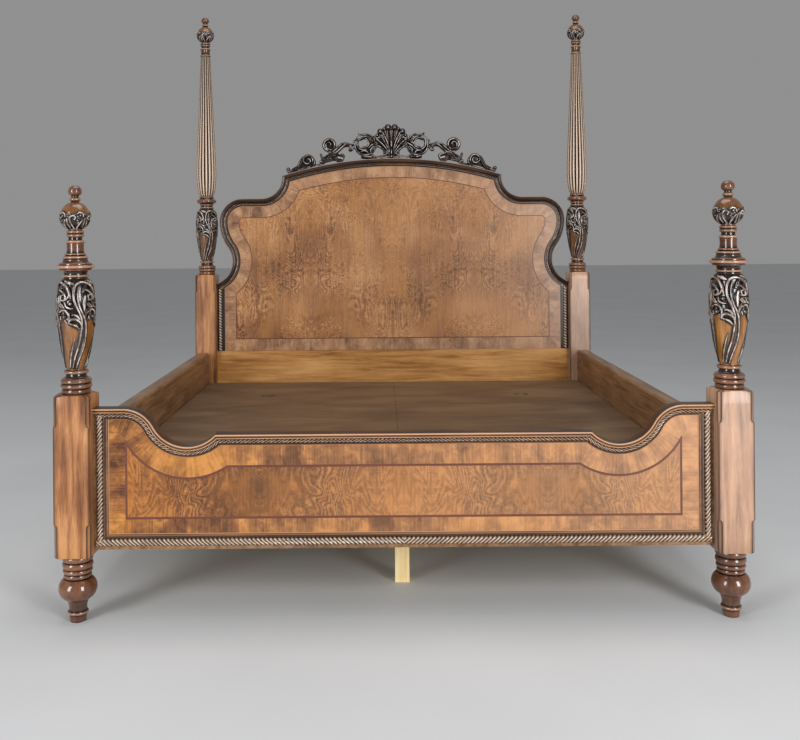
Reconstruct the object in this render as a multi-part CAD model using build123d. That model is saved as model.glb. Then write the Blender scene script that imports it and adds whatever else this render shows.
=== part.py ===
from build123d import *
from math import atan2, cos, degrees, hypot, pi, radians, sin, sqrt
import os

os.makedirs("parts", exist_ok=True)

# Carved four-poster bed, in millimetres.  X runs across the bed, the foot end is at -Y,
# the headboard at +Y, and Z = 0 is the floor.

# Mattress that the bed is built round, and the room left beside it and at its ends
mattress_width = 1930
mattress_length = 2030
side_room = 20
end_room = 20

# Fits
seat_gap = 0.3  # tongues, tenons and bolts in their sockets
deck_gap = 3.0  # loose deck panels to the rails and posts
seam_gap = 1.0  # between the two deck panels

# Square part of the posts
post_size = 110
foot_block_height = 490
head_block_height = 761
corner_chamfer = 10
lower_chamfer_length = 86
upper_chamfer_length = 81
chamfer_run_out = 12

# Lathe work is lofted with this many flats round it, and its curves in straight runs of about this length
turned_sides = 16
curve_run = 40

# Turned foot under the block
toe_radius = 25
toe_height = 23
ankle_ring_radius = 31
ankle_ring_height = 10
foot_cove_height = 35
bulb_foot_radius = 36
bulb_radius = 58
bulb_height = 65
bulb_neck_radius = 41
foot_ring_radius = 46
foot_ring_height = 72

# Base ring, cavetto and vase over the block
base_ring_radius = 45
base_ring_height = 46
cavetto_height = 14
vase_toe_radius = 25
vase_ring_radius = 37
vase_ring_height = 13
vase_height = 278
vase_belly_radius = 55
vase_belly_height = 178
vase_lip_radius = 38
leaf_groove = 0.9  # radius in the grooves between carved leaves, as a share of the outside
vase_bands = 6
vase_shoulder = 0.94  # share of the vase's height where it turns in to the lip
vase_neck_radius = 31
lip_ring_radius = 41
lip_ring_height = 20

# Collar and column of the short foot posts
collar_radius = 57
collar_cove_height = 18
collar_band_height = 10
flare_radius = 36
flare_height = 20
column_radius = 25
column_height = 40
column_seat_rise = 3

# Collar of the tall head posts
head_neck_height = 12
head_collar_radius = 52
head_collar_height = 28
head_collar_ring_height = 10
shaft_seat_radius = 37

# Reeded shaft of the head posts
reeds = 18
reed_depth = 0.16  # share of the reed's chord
reed_flat = 0.46  # share of the reed's chord that its crown takes
shaft_foot_radius = 37
shaft_belly_radius = 55
shaft_top_radius = 25
shaft_swell_height = 112
shaft_taper_height = 640
shaft_ring_radius = 28.5
shaft_ring_height = 10
shaft_column_height = 26
shaft_tenon_radius = 15
shaft_tenon_depth = 50

# Finial, the same on every post
finial_ring_radius = 28
finial_ring_height = 9
finial_neck_radius = 20
finial_neck_height = 10
double_ring_radius = 26
double_ring_height = 20
ball_radius = 45
ball_seat_radius = 9
ball_tip_radius = 9
ball_band = 0.45  # shares of the ball's radius where its carved flats meet
ball_cap = 0.8
tip_ring_radius = 18
tip_ring_height = 12
tip_neck_radius = 12
tip_neck_height = 6
tip_radius = 20.5
tip_flare_height = 14
tip_crown_height = 17
finial_tenon_radius = 8
finial_tenon_depth = 35

# Side rails: a stub tenon, a bed bolt and a barrel nut at each end
rail_thickness = 60
rail_setback = 10
rail_bottom = 249
rail_top = 549
rail_edge_radius = 12
bolt_radius = 5
bolt_edge_distance = 55
bolt_depth_in_post = 40
rail_tenon_thickness = 25
rail_tenon_height = 150
rail_tenon_depth = 15
nut_radius = 10
nut_length = 42
nut_from_post = 110

# Slats, ledger strips, centre legs and deck panels
deck_top = 388
deck_thickness = 18
slats = 5
slat_width = 90
slat_height = 45
slat_end_distance = 258
slat_end_gap = 1
ledger_thickness = 30
ledger_height = 40
ledger_end_distance = 40
leg_size = 48
leg_tenon_size = 25
leg_tenon_depth = 20
finger_hole_radius = 36
finger_hole_x = 620
finger_hole_from_head = 415

# Boards that join the posts: tongues in stopped grooves
tongue_depth = 12
tongue_stop = 20

# Headboard outline: arch, coved corners, rounded ears and waisted flanks
headboard_setback = 41
headboard_thickness = 30
headboard_bottom = 554
arch_top = 1584
arch_spring = 1494
arch_half = 590
shoulder_height = 1373
cove_radius = 111
ear_clearance = 18  # from the ears to the posts
ear_radius = 125
flank_radius = 235
waist_depth = 68  # how far the waist is drawn in behind the ears
waist_radius = 124

# Headboard mouldings
head_cap_width = 22
head_cap_overhang = 18
head_cap_lip = 4
head_rope_width = 22
head_rope_proud = 12
side_rope_width = 40
side_rope_margin = 2
lower_board_bottom = 240
lower_board_thickness = 26

# Footboard outline: level middle, a dip and a raised end on each side
footboard_setback = 25
footboard_thickness = 34
footboard_bottom = 220
foot_middle_height = 570
foot_end_height = 651
dip_reach = 657
dip_height = 534
dip_radius = 116
hump_radius = 105

# Footboard mouldings
foot_cap_width = 11
foot_cap_overhang = 14
foot_cap_lip = 4
foot_rope_proud = 11
foot_rope_width = 18
foot_side_rope_width = 20
foot_side_margin = 15
foot_bottom_rope_width = 24
foot_bottom_margin = 10
bead_width = 7
bead_proud = 6

# Openwork crest on the arch
crest_sides = 14  # flats round each of its rounds
crest_depth = 18
crest_relief = 8
shell_petals = 5
shell_spread = 84
shell_height = 140
shell_base = 10
petal_foot_width = 8
shell_volute_radius = 18
shell_volute_reach = 64
shell_volute_height = 146
wreath_radius = 66
wreath_reach = 140
wreath_height = 72
wreath_eye_radius = 25
wreath_eye_reach = 150
wreath_eye_height = 84
oval_reach = 72
oval_height = 33
oval_width = 29
oval_depth = 19
link_reach = 256
link_height = 76
link_width = 24
band_width = 30
upper_volute_reach = 334
upper_volute_height = 68
upper_volute_radius = 37
lower_volute_reach = 450
lower_volute_lift = 37
lower_volute_radius = 31
volute_band = 0.5  # share of a volute's radius that its band takes
leaf_width = 100
leaf_height = 44
leaf_reach = 310
tail_reach = 556
tail_ball_radius = 10

# What follows from the sizes above
rail_inner = mattress_width / 2 + side_room
rail_outer = rail_inner + rail_thickness
rail_end = mattress_length / 2 + end_room
post_x = rail_outer + rail_setback - post_size / 2
post_y = rail_end + post_size / 2
board_half = post_x - post_size / 2
far = 3 * post_x  # past everything

ear_reach = board_half - ear_clearance
waist_reach = ear_reach - waist_depth
headboard_front = post_y - post_size / 2 + headboard_setback
footboard_cap_front = -post_y - post_size / 2 + footboard_setback
footboard_front = footboard_cap_front + foot_cap_overhang
deck_bottom = deck_top - deck_thickness
slat_bottom = deck_bottom - slat_height


def box(low, high):
    size = [b - a for a, b in zip(low, high)]
    middle = [(a + b) / 2 for a, b in zip(low, high)]
    return Pos(*middle) * Box(*size)


def rod(start, direction, radius, length):
    return extrude(Plane(start, z_dir=direction) * Circle(radius), amount=length)


def both_sides(shape):
    return [shape, mirror(shape, Plane.YZ)]


def rise(steps):
    return sum(height for _, height, _ in steps)


def ring(core, radius, height):
    return [(radius, height / 2, 0), (core, height / 2, 0)]


def stacked(sections):
    """A solid through sections of one shape, with flat faces between each section and the next."""
    faces = [make_face(Polyline(*section, close=True)) for section in (sections[0], sections[-1])]
    for lower, upper in zip(sections, sections[1:]):
        for i in range(len(lower)):
            faces.append(make_face(Polyline(lower[i - 1], lower[i], upper[i], upper[i - 1], close=True)))
    return Solid(Shell([flat for face in faces for flat in face.faces()]))


def round_section(height, radius, groove=1):
    """Corners round the axis at one height: every second one may lie in a groove between leaves."""
    section = []
    for i in range(turned_sides):
        reach = radius * (groove if i % 2 else 1)
        angle = 2 * pi * i / turned_sides
        section.append((reach * cos(angle), reach * sin(angle), height))
    return section


def turned(base, radius, steps):
    """Lathe work upwards from base: each step gives its end radius, its rise and its bulge."""
    here = Vector(radius, 0, base)
    outline = [here]
    for radius, height, bulge in steps:
        there = Vector(radius, 0, here.Z + height)
        if bulge:
            outward = Vector(height, 0, here.X - radius).normalized()
            curve = ThreePointArc(here, (here + there) / 2 + outward * bulge, there)
            runs = max(2, round(curve.length / curve_run))
            outline += [curve @ (i / runs) for i in range(1, runs)]
        outline.append(there)
        here = there
    return stacked([round_section(point.Z, point.X) for point in outline])


# Turned outlines
foot_outline = [
    (toe_radius, toe_height, 0),
    *ring(toe_radius, ankle_ring_radius, ankle_ring_height),
    (bulb_foot_radius, foot_cove_height, 0),
    (bulb_neck_radius, bulb_height, bulb_radius - (bulb_foot_radius + bulb_neck_radius) / 2),
    (foot_ring_radius, foot_ring_height, 0),
]
base_outline = [
    (base_ring_radius, base_ring_height, 0),
    (vase_toe_radius, cavetto_height, 0),
    *ring(vase_toe_radius, vase_ring_radius, vase_ring_height),
]
lip_outline = ring(vase_neck_radius, lip_ring_radius, lip_ring_height)
foot_collar_outline = [
    (collar_radius, collar_cove_height, 0),
    (collar_radius, collar_band_height, 0),
    (flare_radius, flare_height, 0),
    (column_radius, column_seat_rise, 0),
    (column_radius, column_height - column_seat_rise, 0),
]
head_collar_outline = [
    (vase_neck_radius, head_neck_height, 0),
    *ring(shaft_seat_radius, head_collar_radius, head_collar_height),
    (shaft_seat_radius, head_collar_ring_height, 0),
]
finial_foot_outline = [
    *ring(finial_neck_radius, finial_ring_radius, finial_ring_height),
    (finial_neck_radius, finial_neck_height, 0),
    *ring(ball_seat_radius, double_ring_radius, double_ring_height),
]
tip_outline = [
    (tip_ring_radius, tip_ring_height, 0),
    (tip_neck_radius, tip_neck_height, 0),
    (tip_radius, tip_flare_height, 0),
    (tip_radius / 2, tip_crown_height, 0),
]

block_bottom = rise(foot_outline)
foot_block_top = block_bottom + foot_block_height
head_block_top = block_bottom + head_block_height
vase_part_height = rise(base_outline) + vase_height + rise(lip_outline)
foot_finial_seat = foot_block_top + vase_part_height + rise(foot_collar_outline)
shaft_seat = head_block_top + vase_part_height + rise(head_collar_outline)
shaft_belly = shaft_seat + shaft_swell_height
reed_top = shaft_belly + shaft_taper_height
head_finial_seat = reed_top + shaft_ring_height + shaft_column_height


def carved(base, outline):
    """A body with carved leaves round it: outline gives the radius at each height over base."""
    return stacked([round_section(base + height, radius, leaf_groove) for height, radius in outline])


def vase_radius(height):
    """Slim at the toe, fullest at the belly and rounded in to the lip."""
    if height < vase_belly_height:
        share = height / vase_belly_height
        return vase_toe_radius + (vase_belly_radius - vase_toe_radius) * sin(share * pi / 2)
    share = (height - vase_belly_height) / (vase_height - vase_belly_height)
    return vase_lip_radius + (vase_belly_radius - vase_lip_radius) * sqrt(1 - share**2)


def make_vase(base):
    """Base ring, cavetto, carved vase and lip ring, upwards from base."""
    vase_base = base + rise(base_outline)
    heights = [vase_height * i / vase_bands for i in range(vase_bands)]
    heights += [vase_height * vase_shoulder, vase_height]
    vase = carved(vase_base, [(h, vase_radius(h)) for h in heights])
    foot = turned(base, base_ring_radius, base_outline)
    return foot + vase + turned(vase_base + vase_height, vase_neck_radius, lip_outline)


def make_ball(base):
    """The carved ball of a finial, standing on its seat."""
    low = sqrt(ball_radius**2 - ball_seat_radius**2)
    high = sqrt(ball_radius**2 - ball_tip_radius**2)
    shares = [-ball_cap, -ball_band, 0, ball_band, ball_cap]
    heights = [-low, *(ball_radius * share for share in shares), high]
    return carved(base, [(h + low, sqrt(ball_radius**2 - h**2)) for h in heights])


def post_block(bottom, top):
    """The square length: its corners are chamfered at both ends, with sloping stops."""
    half = post_size / 2
    block = box((-half, -half, bottom), (half, half, top))
    corner = half * sqrt(2)
    flat = corner - corner_chamfer / sqrt(2)
    for end, length, up in ((bottom, lower_chamfer_length, 1), (top, upper_chamfer_length, -1)):
        outline = Polyline(
            (flat, 0, end),
            (flat, 0, end + up * length),
            (corner, 0, end + up * (length + chamfer_run_out)),
            (corner + corner_chamfer, 0, end + up * (length + chamfer_run_out)),
            (corner + corner_chamfer, 0, end),
            close=True,
        )
        cut = extrude(make_face(outline), amount=2 * corner_chamfer, both=True)
        for quarter in range(4):
            block -= Rot(0, 0, 45 + 90 * quarter) * cut
    return block


def tongues(bottom, top, front, thickness, gap):
    """Tongues on both ends of a board, or their grooves when gap is more than nothing."""
    middle = front + thickness / 2
    half = thickness / 4 + gap
    low = (board_half - tongue_depth, middle - half, bottom + tongue_stop - gap)
    high = (board_half + tongue_depth + gap, middle + half, top - tongue_stop + gap)
    return both_sides(box(low, high))


def bolt_places():
    """Side, end and start of each bed bolt, which lies along Y in the middle of the rail."""
    for side in (-1, 1):
        for end in (-1, 1):
            yield side, end, rail_top - bolt_edge_distance


def bed_bolts(gap):
    """Bolts from the posts through the rail ends, up to the barrel nuts."""
    reach = bolt_depth_in_post + nut_from_post - nut_radius - seat_gap + gap
    middle = (rail_inner + rail_outer) / 2
    for side, end, height in bolt_places():
        start = (side * middle, end * (rail_end + bolt_depth_in_post + gap), height)
        yield rod(start, (0, -end, 0), bolt_radius + gap, reach)


def barrel_nuts(gap):
    for side, end, height in bolt_places():
        start = (side * rail_inner, end * (rail_end - nut_from_post), height)
        yield rod(start, (side, 0, 0), nut_radius + gap, nut_length + gap)


def rail_tenons(gap):
    """Stub tenons on the rail ends, or their mortises when gap is more than nothing."""
    middle_x = (rail_inner + rail_outer) / 2
    middle_z = (rail_bottom + rail_top - bolt_edge_distance) / 2
    half_x = rail_tenon_thickness / 2 + gap
    half_z = rail_tenon_height / 2 + gap
    reach = rail_end + rail_tenon_depth + gap
    tenons = []
    for low_y, high_y in ((-reach, -rail_end), (rail_end, reach)):
        low = (middle_x - half_x, low_y, middle_z - half_z)
        tenons += both_sides(box(low, (middle_x + half_x, high_y, middle_z + half_z)))
    return tenons


def under(middle, right):
    """The region below a top line that is the same on both sides, carried on past the posts."""
    left = [mirror(edge, Plane.YZ) for edge in right]
    end = right[-1] @ 1
    sides = Polyline(end, (end.X, -far), (-end.X, -far), (-end.X, end.Y))
    return make_face([middle, *right, *left, *sides.edges()])


def bend(centre, start, finish):
    """An arc round centre by the shorter way from start to finish."""
    centre, start, finish = Vector(*centre), Vector(*start), Vector(*finish)
    radius = (start - centre).length
    halfway = ((start + finish) / 2 - centre).normalized() * radius
    return ThreePointArc(start, centre + halfway, finish)


def headboard_field():
    cove = (arch_half + cove_radius, shoulder_height + cove_radius)
    ear = (ear_reach - ear_radius, shoulder_height - ear_radius)
    flank = (ear_reach - flank_radius, shoulder_height - ear_radius)
    waist_x = waist_reach + waist_radius
    joined = flank_radius + waist_radius
    waist = (waist_x, flank[1] - sqrt(joined**2 - (waist_x - flank[0]) ** 2))
    share = flank_radius / joined
    turn = tuple(a + (b - a) * share for a, b in zip(flank, waist))
    waist_foot = (waist_x, waist[1] - waist_radius)
    arch = ThreePointArc((-arch_half, arch_spring), (0, arch_top), (arch_half, arch_spring))
    right = [
        Line((arch_half, arch_spring), (arch_half, cove[1])),
        bend(cove, (arch_half, cove[1]), (cove[0], shoulder_height)),
        Line((cove[0], shoulder_height), (ear[0], shoulder_height)),
        bend(ear, (ear[0], shoulder_height), (ear_reach, ear[1])),
        bend(flank, (ear_reach, flank[1]), turn),
        bend(waist, turn, waist_foot),
        Line(waist_foot, (far, waist_foot[1])),
    ]
    return under(arch, right)


def footboard_field():
    dip = (dip_reach, dip_height + dip_radius)
    fall = dip[1] - (foot_end_height - hump_radius)
    joined = dip_radius + hump_radius
    hump = (dip_reach + sqrt(joined**2 - fall**2), foot_end_height - hump_radius)
    share = dip_radius / joined
    turn = tuple(a + (b - a) * share for a, b in zip(dip, hump))
    corner = (dip_reach - sqrt(dip_radius**2 - (dip[1] - foot_middle_height) ** 2), foot_middle_height)
    lowest = (dip_reach, dip_height)
    crown = (hump[0], foot_end_height)
    middle = Line((-corner[0], foot_middle_height), corner)
    right = [
        bend(dip, corner, lowest),
        bend(dip, lowest, turn),
        bend(hump, turn, crown),
        Line(crown, (far, foot_end_height)),
    ]
    return under(middle, right)


def inset(field, distance):
    return offset(field, amount=-distance, kind=Kind.INTERSECTION) if distance else field


def above(bottom, half):
    """A tall region of a half width, from a height up."""
    return Pos(0, bottom + far / 2) * Rectangle(2 * half, far)


def region(field, distance, bottom, half):
    return inset(field, distance) & above(bottom, half)


def board(face, front, thickness):
    """A flat piece from a front outline, with its front face at Y = front."""
    return extrude(Pos(0, front + thickness, 0) * (Plane.XZ * face), amount=thickness)


def make_posts():
    floor_work = turned(0, toe_radius, foot_outline)
    foot_grooves = tongues(footboard_bottom, foot_end_height, footboard_front, footboard_thickness, seat_gap)
    head_grooves = headboard_tongues(seat_gap) + lower_board_tongues(seat_gap)
    rail_sockets = list(bed_bolts(seat_gap)) + rail_tenons(seat_gap)
    finial_socket = rod((0, 0, foot_finial_seat), (0, 0, -1), finial_tenon_radius + seat_gap,
                        finial_tenon_depth + seat_gap)
    shaft_socket = rod((0, 0, shaft_seat), (0, 0, -1), shaft_tenon_radius + seat_gap,
                       shaft_tenon_depth + seat_gap)
    foot = floor_work + post_block(block_bottom, foot_block_top)
    foot += make_vase(foot_block_top)
    foot += turned(foot_block_top + vase_part_height, vase_neck_radius, foot_collar_outline)
    foot -= finial_socket
    head = floor_work + post_block(block_bottom, head_block_top)
    head += make_vase(head_block_top)
    head += turned(head_block_top + vase_part_height, vase_neck_radius, head_collar_outline)
    head -= shaft_socket
    posts = {}
    for side, name in ((-1, "left"), (1, "right")):
        posts["foot_post_" + name] = Pos(side * post_x, -post_y) * foot - foot_grooves - rail_sockets
        posts["head_post_" + name] = Pos(side * post_x, post_y) * head - head_grooves - rail_sockets
    return posts


def headboard_tongue_top():
    """Where the panel, under its cap, comes down to the posts."""
    waist_x = waist_reach + waist_radius
    drop = sqrt((flank_radius + waist_radius) ** 2 - (waist_x - ear_reach + flank_radius) ** 2)
    centre = shoulder_height - ear_radius - drop
    lowest = sqrt(waist_radius**2 - (waist_x - board_half) ** 2)
    return centre - lowest - head_cap_width


def headboard_tongues(gap):
    return tongues(headboard_bottom, headboard_tongue_top(), headboard_front, headboard_thickness, gap)


def lower_board_tongues(gap):
    return tongues(lower_board_bottom, headboard_bottom, headboard_front, lower_board_thickness, gap)


def reed_section(height, radius):
    """A round of touching reeds at one height of the shaft, each with two shoulders and a crown."""
    valley = radius / (1 + 2 * reed_depth * sin(pi / reeds))
    angles = [2 * pi * i / reeds for i in range(reeds)]
    points = [Vector(valley * cos(angle), valley * sin(angle), height) for angle in angles]
    section = []
    for a, b in zip(points, points[1:] + points[:1]):
        lift = Vector(a.X + b.X, a.Y + b.Y).normalized() * ((b - a).length * 2 * reed_depth)
        shoulder = (b - a) * ((1 - reed_flat) / 2)
        section += [a, a + shoulder + lift, b - shoulder + lift]
    return section


def make_shaft():
    sections = [
        reed_section(shaft_seat, shaft_foot_radius),
        reed_section(shaft_belly, shaft_belly_radius),
        reed_section(reed_top, shaft_top_radius),
    ]
    shaft = stacked(sections)
    top = ring(column_radius, shaft_ring_radius, shaft_ring_height)
    shaft += turned(reed_top, column_radius, [*top, (column_radius, shaft_column_height, 0)])
    shaft += rod((0, 0, shaft_seat), (0, 0, -1), shaft_tenon_radius, shaft_tenon_depth)
    return shaft - rod((0, 0, head_finial_seat), (0, 0, -1), finial_tenon_radius + seat_gap,
                       finial_tenon_depth + seat_gap)


def make_finial():
    ball_base = rise(finial_foot_outline)
    ball_height = sqrt(ball_radius**2 - ball_seat_radius**2) + sqrt(ball_radius**2 - ball_tip_radius**2)
    finial = turned(0, finial_neck_radius, finial_foot_outline)
    finial += make_ball(ball_base)
    finial += turned(ball_base + ball_height, ball_tip_radius, tip_outline)
    return finial + rod((0, 0, 0), (0, 0, -1), finial_tenon_radius, finial_tenon_depth)


def make_rails():
    low = (rail_inner, -rail_end, rail_bottom)
    rail = box(low, (rail_outer, rail_end, rail_top))
    long_top_edges = rail.edges().filter_by(Axis.Y).group_by(Axis.Z)[-1]
    rail = fillet(long_top_edges, rail_edge_radius)
    holes = list(bed_bolts(seat_gap)) + list(barrel_nuts(seat_gap))
    tenons = rail_tenons(0)
    right, left = both_sides(rail)
    right += [t for t in tenons if t.center().X > 0]
    left += [t for t in tenons if t.center().X < 0]
    return {"side_rail_right": right - holes, "side_rail_left": left - holes}


def make_headboard():
    field = headboard_field()
    cap_front = headboard_front - head_cap_overhang
    cap_depth = head_cap_overhang + headboard_thickness + head_cap_lip
    cap = above(headboard_bottom, board_half) & (field - inset(field, head_cap_width))
    rope_outer = inset(field, head_cap_width)
    rope_inner = inset(field, head_cap_width + head_rope_width)
    rope_half = board_half - side_rope_margin
    between = above(headboard_bottom, rope_half)
    rope = (rope_outer - rope_inner) & between
    strips = (rope_inner & between) - above(headboard_bottom, rope_half - side_rope_width)
    panel_face = region(field, head_cap_width, headboard_bottom, board_half)
    panel = board(panel_face, headboard_front, headboard_thickness)
    panel += headboard_tongues(0)
    lower = box((-board_half, headboard_front, lower_board_bottom),
                (board_half, headboard_front + lower_board_thickness, headboard_bottom))
    lower += lower_board_tongues(0)
    pieces = {
        "headboard_panel": panel,
        "headboard_cap": board(cap, cap_front, cap_depth),
        "headboard_rope": board(rope, headboard_front - head_rope_proud, head_rope_proud),
        "headboard_lower_board": lower,
    }
    for strip in strips.faces():
        name = "headboard_side_rope_" + ("left" if strip.center().X < 0 else "right")
        pieces[name] = board(strip, headboard_front - head_rope_proud, head_rope_proud)
    return pieces


def frame_round(field, top, bottom, half, widths):
    """A border that follows the footboard's edge: widths at the top, the bottom and the sides."""
    outer = region(field, top, bottom, half)
    top_width, bottom_width, side_width = widths
    return outer - region(field, top + top_width, bottom + bottom_width, half - side_width)


def make_footboard():
    field = footboard_field()
    cap_depth = foot_cap_overhang + footboard_thickness + foot_cap_lip
    cap = above(footboard_bottom, board_half) & (field - inset(field, foot_cap_width))
    rope_bottom = footboard_bottom + foot_bottom_margin
    rope_half = board_half - foot_side_margin
    rope = frame_round(field, foot_cap_width, rope_bottom, rope_half,
                       (foot_rope_width, foot_bottom_rope_width, foot_side_rope_width))
    bead = frame_round(field, foot_cap_width + foot_rope_width, rope_bottom + foot_bottom_rope_width,
                       rope_half - foot_side_rope_width, (bead_width, bead_width, bead_width))
    panel_face = region(field, foot_cap_width, footboard_bottom, board_half)
    panel = board(panel_face, footboard_front, footboard_thickness)
    panel += tongues(footboard_bottom, foot_end_height, footboard_front, footboard_thickness, 0)
    return {
        "footboard_panel": panel,
        "footboard_cap": board(cap, footboard_cap_front, cap_depth),
        "footboard_rope": board(rope, footboard_front - foot_rope_proud, foot_rope_proud),
        "footboard_bead": board(bead, footboard_front - bead_proud, bead_proud),
    }


def slat_places():
    pitch = 2 * (rail_end - slat_end_distance) / (slats - 1)
    return [slat_end_distance - rail_end + pitch * i for i in range(slats)]


def make_deck():
    pieces = {}
    ledger_end = rail_end - ledger_end_distance
    ledger = box((rail_inner - ledger_thickness, -ledger_end, slat_bottom - ledger_height),
                 (rail_inner, ledger_end, slat_bottom))
    slat_half = rail_inner - slat_end_gap
    for number, y in enumerate(slat_places(), 1):
        half = slat_width / 2
        slat = box((-slat_half, y - half, slat_bottom), (slat_half, y + half, deck_bottom))
        grip = leg_tenon_size / 2
        tenon = box((-grip, y - grip, slat_bottom), (grip, y + grip, slat_bottom + leg_tenon_depth))
        leg = box((-leg_size / 2, y - leg_size / 2, 0), (leg_size / 2, y + leg_size / 2, slat_bottom))
        pieces[f"slat_leg_{number}"] = leg + tenon
        pieces[f"slat_{number}"] = slat - tenon
    pieces["rail_ledger_right"], pieces["rail_ledger_left"] = both_sides(ledger)
    length = rail_end - deck_gap
    panel = box((seam_gap / 2, -length, deck_bottom), (rail_inner - deck_gap, length, deck_top))
    panel -= rod((finger_hole_x, rail_end - finger_hole_from_head, deck_bottom), (0, 0, 1),
                 finger_hole_radius, deck_thickness)
    pieces["deck_panel_right"], pieces["deck_panel_left"] = both_sides(panel)
    return pieces


def arch_radius():
    drop = arch_top - arch_spring
    return (arch_half**2 + drop**2) / (2 * drop)


def crest_round(half_width, half_height):
    """A round or oval of the crest, as flats."""
    angles = [2 * pi * i / crest_sides for i in range(crest_sides)]
    return make_face(Polyline(*((half_width * cos(a), half_height * sin(a)) for a in angles), close=True))


def petal(angle):
    """One rib of the shell, from its foot to its rounded end."""
    half_angle = radians(shell_spread / shell_petals / 2)
    tip = shell_height * sin(half_angle)
    foot = petal_foot_width / 2
    reach = shell_height * cos(half_angle)
    blade = make_face(Polyline((-foot, 0), (foot, 0), (tip, reach), (-tip, reach), close=True))
    return Pos(0, shell_base) * Rot(0, 0, angle) * (blade + Pos(0, reach) * crest_round(tip, tip))


def volute(reach, height, radius):
    """A scroll: a round band that turns in on itself, open beside its eye."""
    band = radius * volute_band
    opening = Pos(band / 2, 0) * crest_round(radius - band, radius - band)
    return Pos(reach, height) * (crest_round(radius, radius) - opening)


def spar(start, finish, width):
    """A straight member between two points."""
    run = hypot(finish[0] - start[0], finish[1] - start[1])
    angle = degrees(atan2(finish[1] - start[1], finish[0] - start[0]))
    middle = ((start[0] + finish[0]) / 2, (start[1] + finish[1]) / 2)
    return Pos(*middle) * Rot(0, 0, angle) * Rectangle(run, width)


def on_arch(reach):
    """Height of the arch above its crown line, so nothing or less."""
    radius = arch_radius()
    return sqrt(radius**2 - reach**2) - radius


def wreath_openings():
    eye = Pos(wreath_eye_reach, wreath_eye_height) * crest_round(wreath_eye_radius, wreath_eye_radius)
    oval = Pos(oval_reach, oval_height) * crest_round(oval_width, oval_depth)
    return [eye, oval]


def proud_members():
    """Right half of the members that stand proud: the wreath and the volutes."""
    wreath = Pos(wreath_reach, wreath_height) * crest_round(wreath_radius, wreath_radius) - wreath_openings()
    upper = volute(upper_volute_reach, upper_volute_height, upper_volute_radius)
    lower = volute(lower_volute_reach, on_arch(lower_volute_reach) + lower_volute_lift, lower_volute_radius)
    corner_round = crest_round(shell_volute_radius, shell_volute_radius)
    corner = Pos(shell_volute_reach, shell_volute_height) * corner_round
    return [wreath, upper, lower, corner]


def ground_members():
    """Right half of the members at the ground depth: links, bands, leaf and tail."""
    knot = (link_reach, link_height)
    leaf_foot = on_arch(leaf_reach)
    leaf = Pos(leaf_reach, leaf_foot + leaf_height / 3) * crest_round(leaf_width / 2, leaf_height)
    volute_foot = (lower_volute_reach, on_arch(lower_volute_reach))
    upper_foot = (upper_volute_reach, upper_volute_height - upper_volute_radius / 2)
    tail = (tail_reach, on_arch(tail_reach) + tail_ball_radius)
    return [
        spar((wreath_reach + wreath_eye_radius, wreath_height), knot, link_width) - wreath_openings(),
        spar(knot, (leaf_reach, leaf_foot), band_width),
        spar((leaf_reach, leaf_foot), upper_foot, band_width),
        leaf,
        spar((leaf_reach, leaf_foot), volute_foot, band_width),
        spar(volute_foot, tail, tail_ball_radius),
        Pos(*tail) * crest_round(tail_ball_radius, tail_ball_radius),
        spar((0, 0), (wreath_reach, wreath_height - wreath_radius), band_width),
    ]


def make_crest():
    """The shell, wreaths, volutes and leaves, cut to the arch that they stand on."""
    back = headboard_front + headboard_thickness / 2 + crest_depth / 2
    seat = Pos(0, -arch_radius()) * Circle(arch_radius())
    step = shell_spread / shell_petals
    openings = wreath_openings() + [mirror(hole, Plane.YZ) for hole in wreath_openings()]
    proud_depth = crest_depth + crest_relief
    layers = [(face, crest_depth) for member in ground_members() for face in both_sides(member)]
    layers += [(face, proud_depth) for member in proud_members() for face in both_sides(member)]
    for i in range(shell_petals):
        depth = crest_depth + crest_relief * (2 - i % 2)
        layers.append((petal(step * (i - (shell_petals - 1) / 2)) - openings, depth))
    crest = Part()
    for face, depth in layers:
        crest += board(face - seat, back - depth, depth)
    return Pos(0, 0, arch_top) * crest


def main():
    pieces = {**make_posts(), **make_rails(), **make_headboard(), **make_footboard(), **make_deck()}
    shaft, finial = make_shaft(), make_finial()
    for side, name in ((-1, "left"), (1, "right")):
        pieces["head_shaft_" + name] = Pos(side * post_x, post_y) * shaft
    pieces["head_finials"] = [Pos(side * post_x, post_y, head_finial_seat) * finial for side in (-1, 1)]
    pieces["foot_finials"] = [Pos(side * post_x, -post_y, foot_finial_seat) * finial for side in (-1, 1)]
    pieces["headboard_crest"] = make_crest()
    pieces["bed_bolts"] = list(bed_bolts(0))
    pieces["barrel_nuts"] = list(barrel_nuts(0))
    for name, piece in pieces.items():
        solids = [s for p in piece for s in p.solids()] if isinstance(piece, list) else piece.solids()
        export_step(Compound(children=list(solids)), f"parts/{name}.step")


main()
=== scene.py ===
import math

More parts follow.
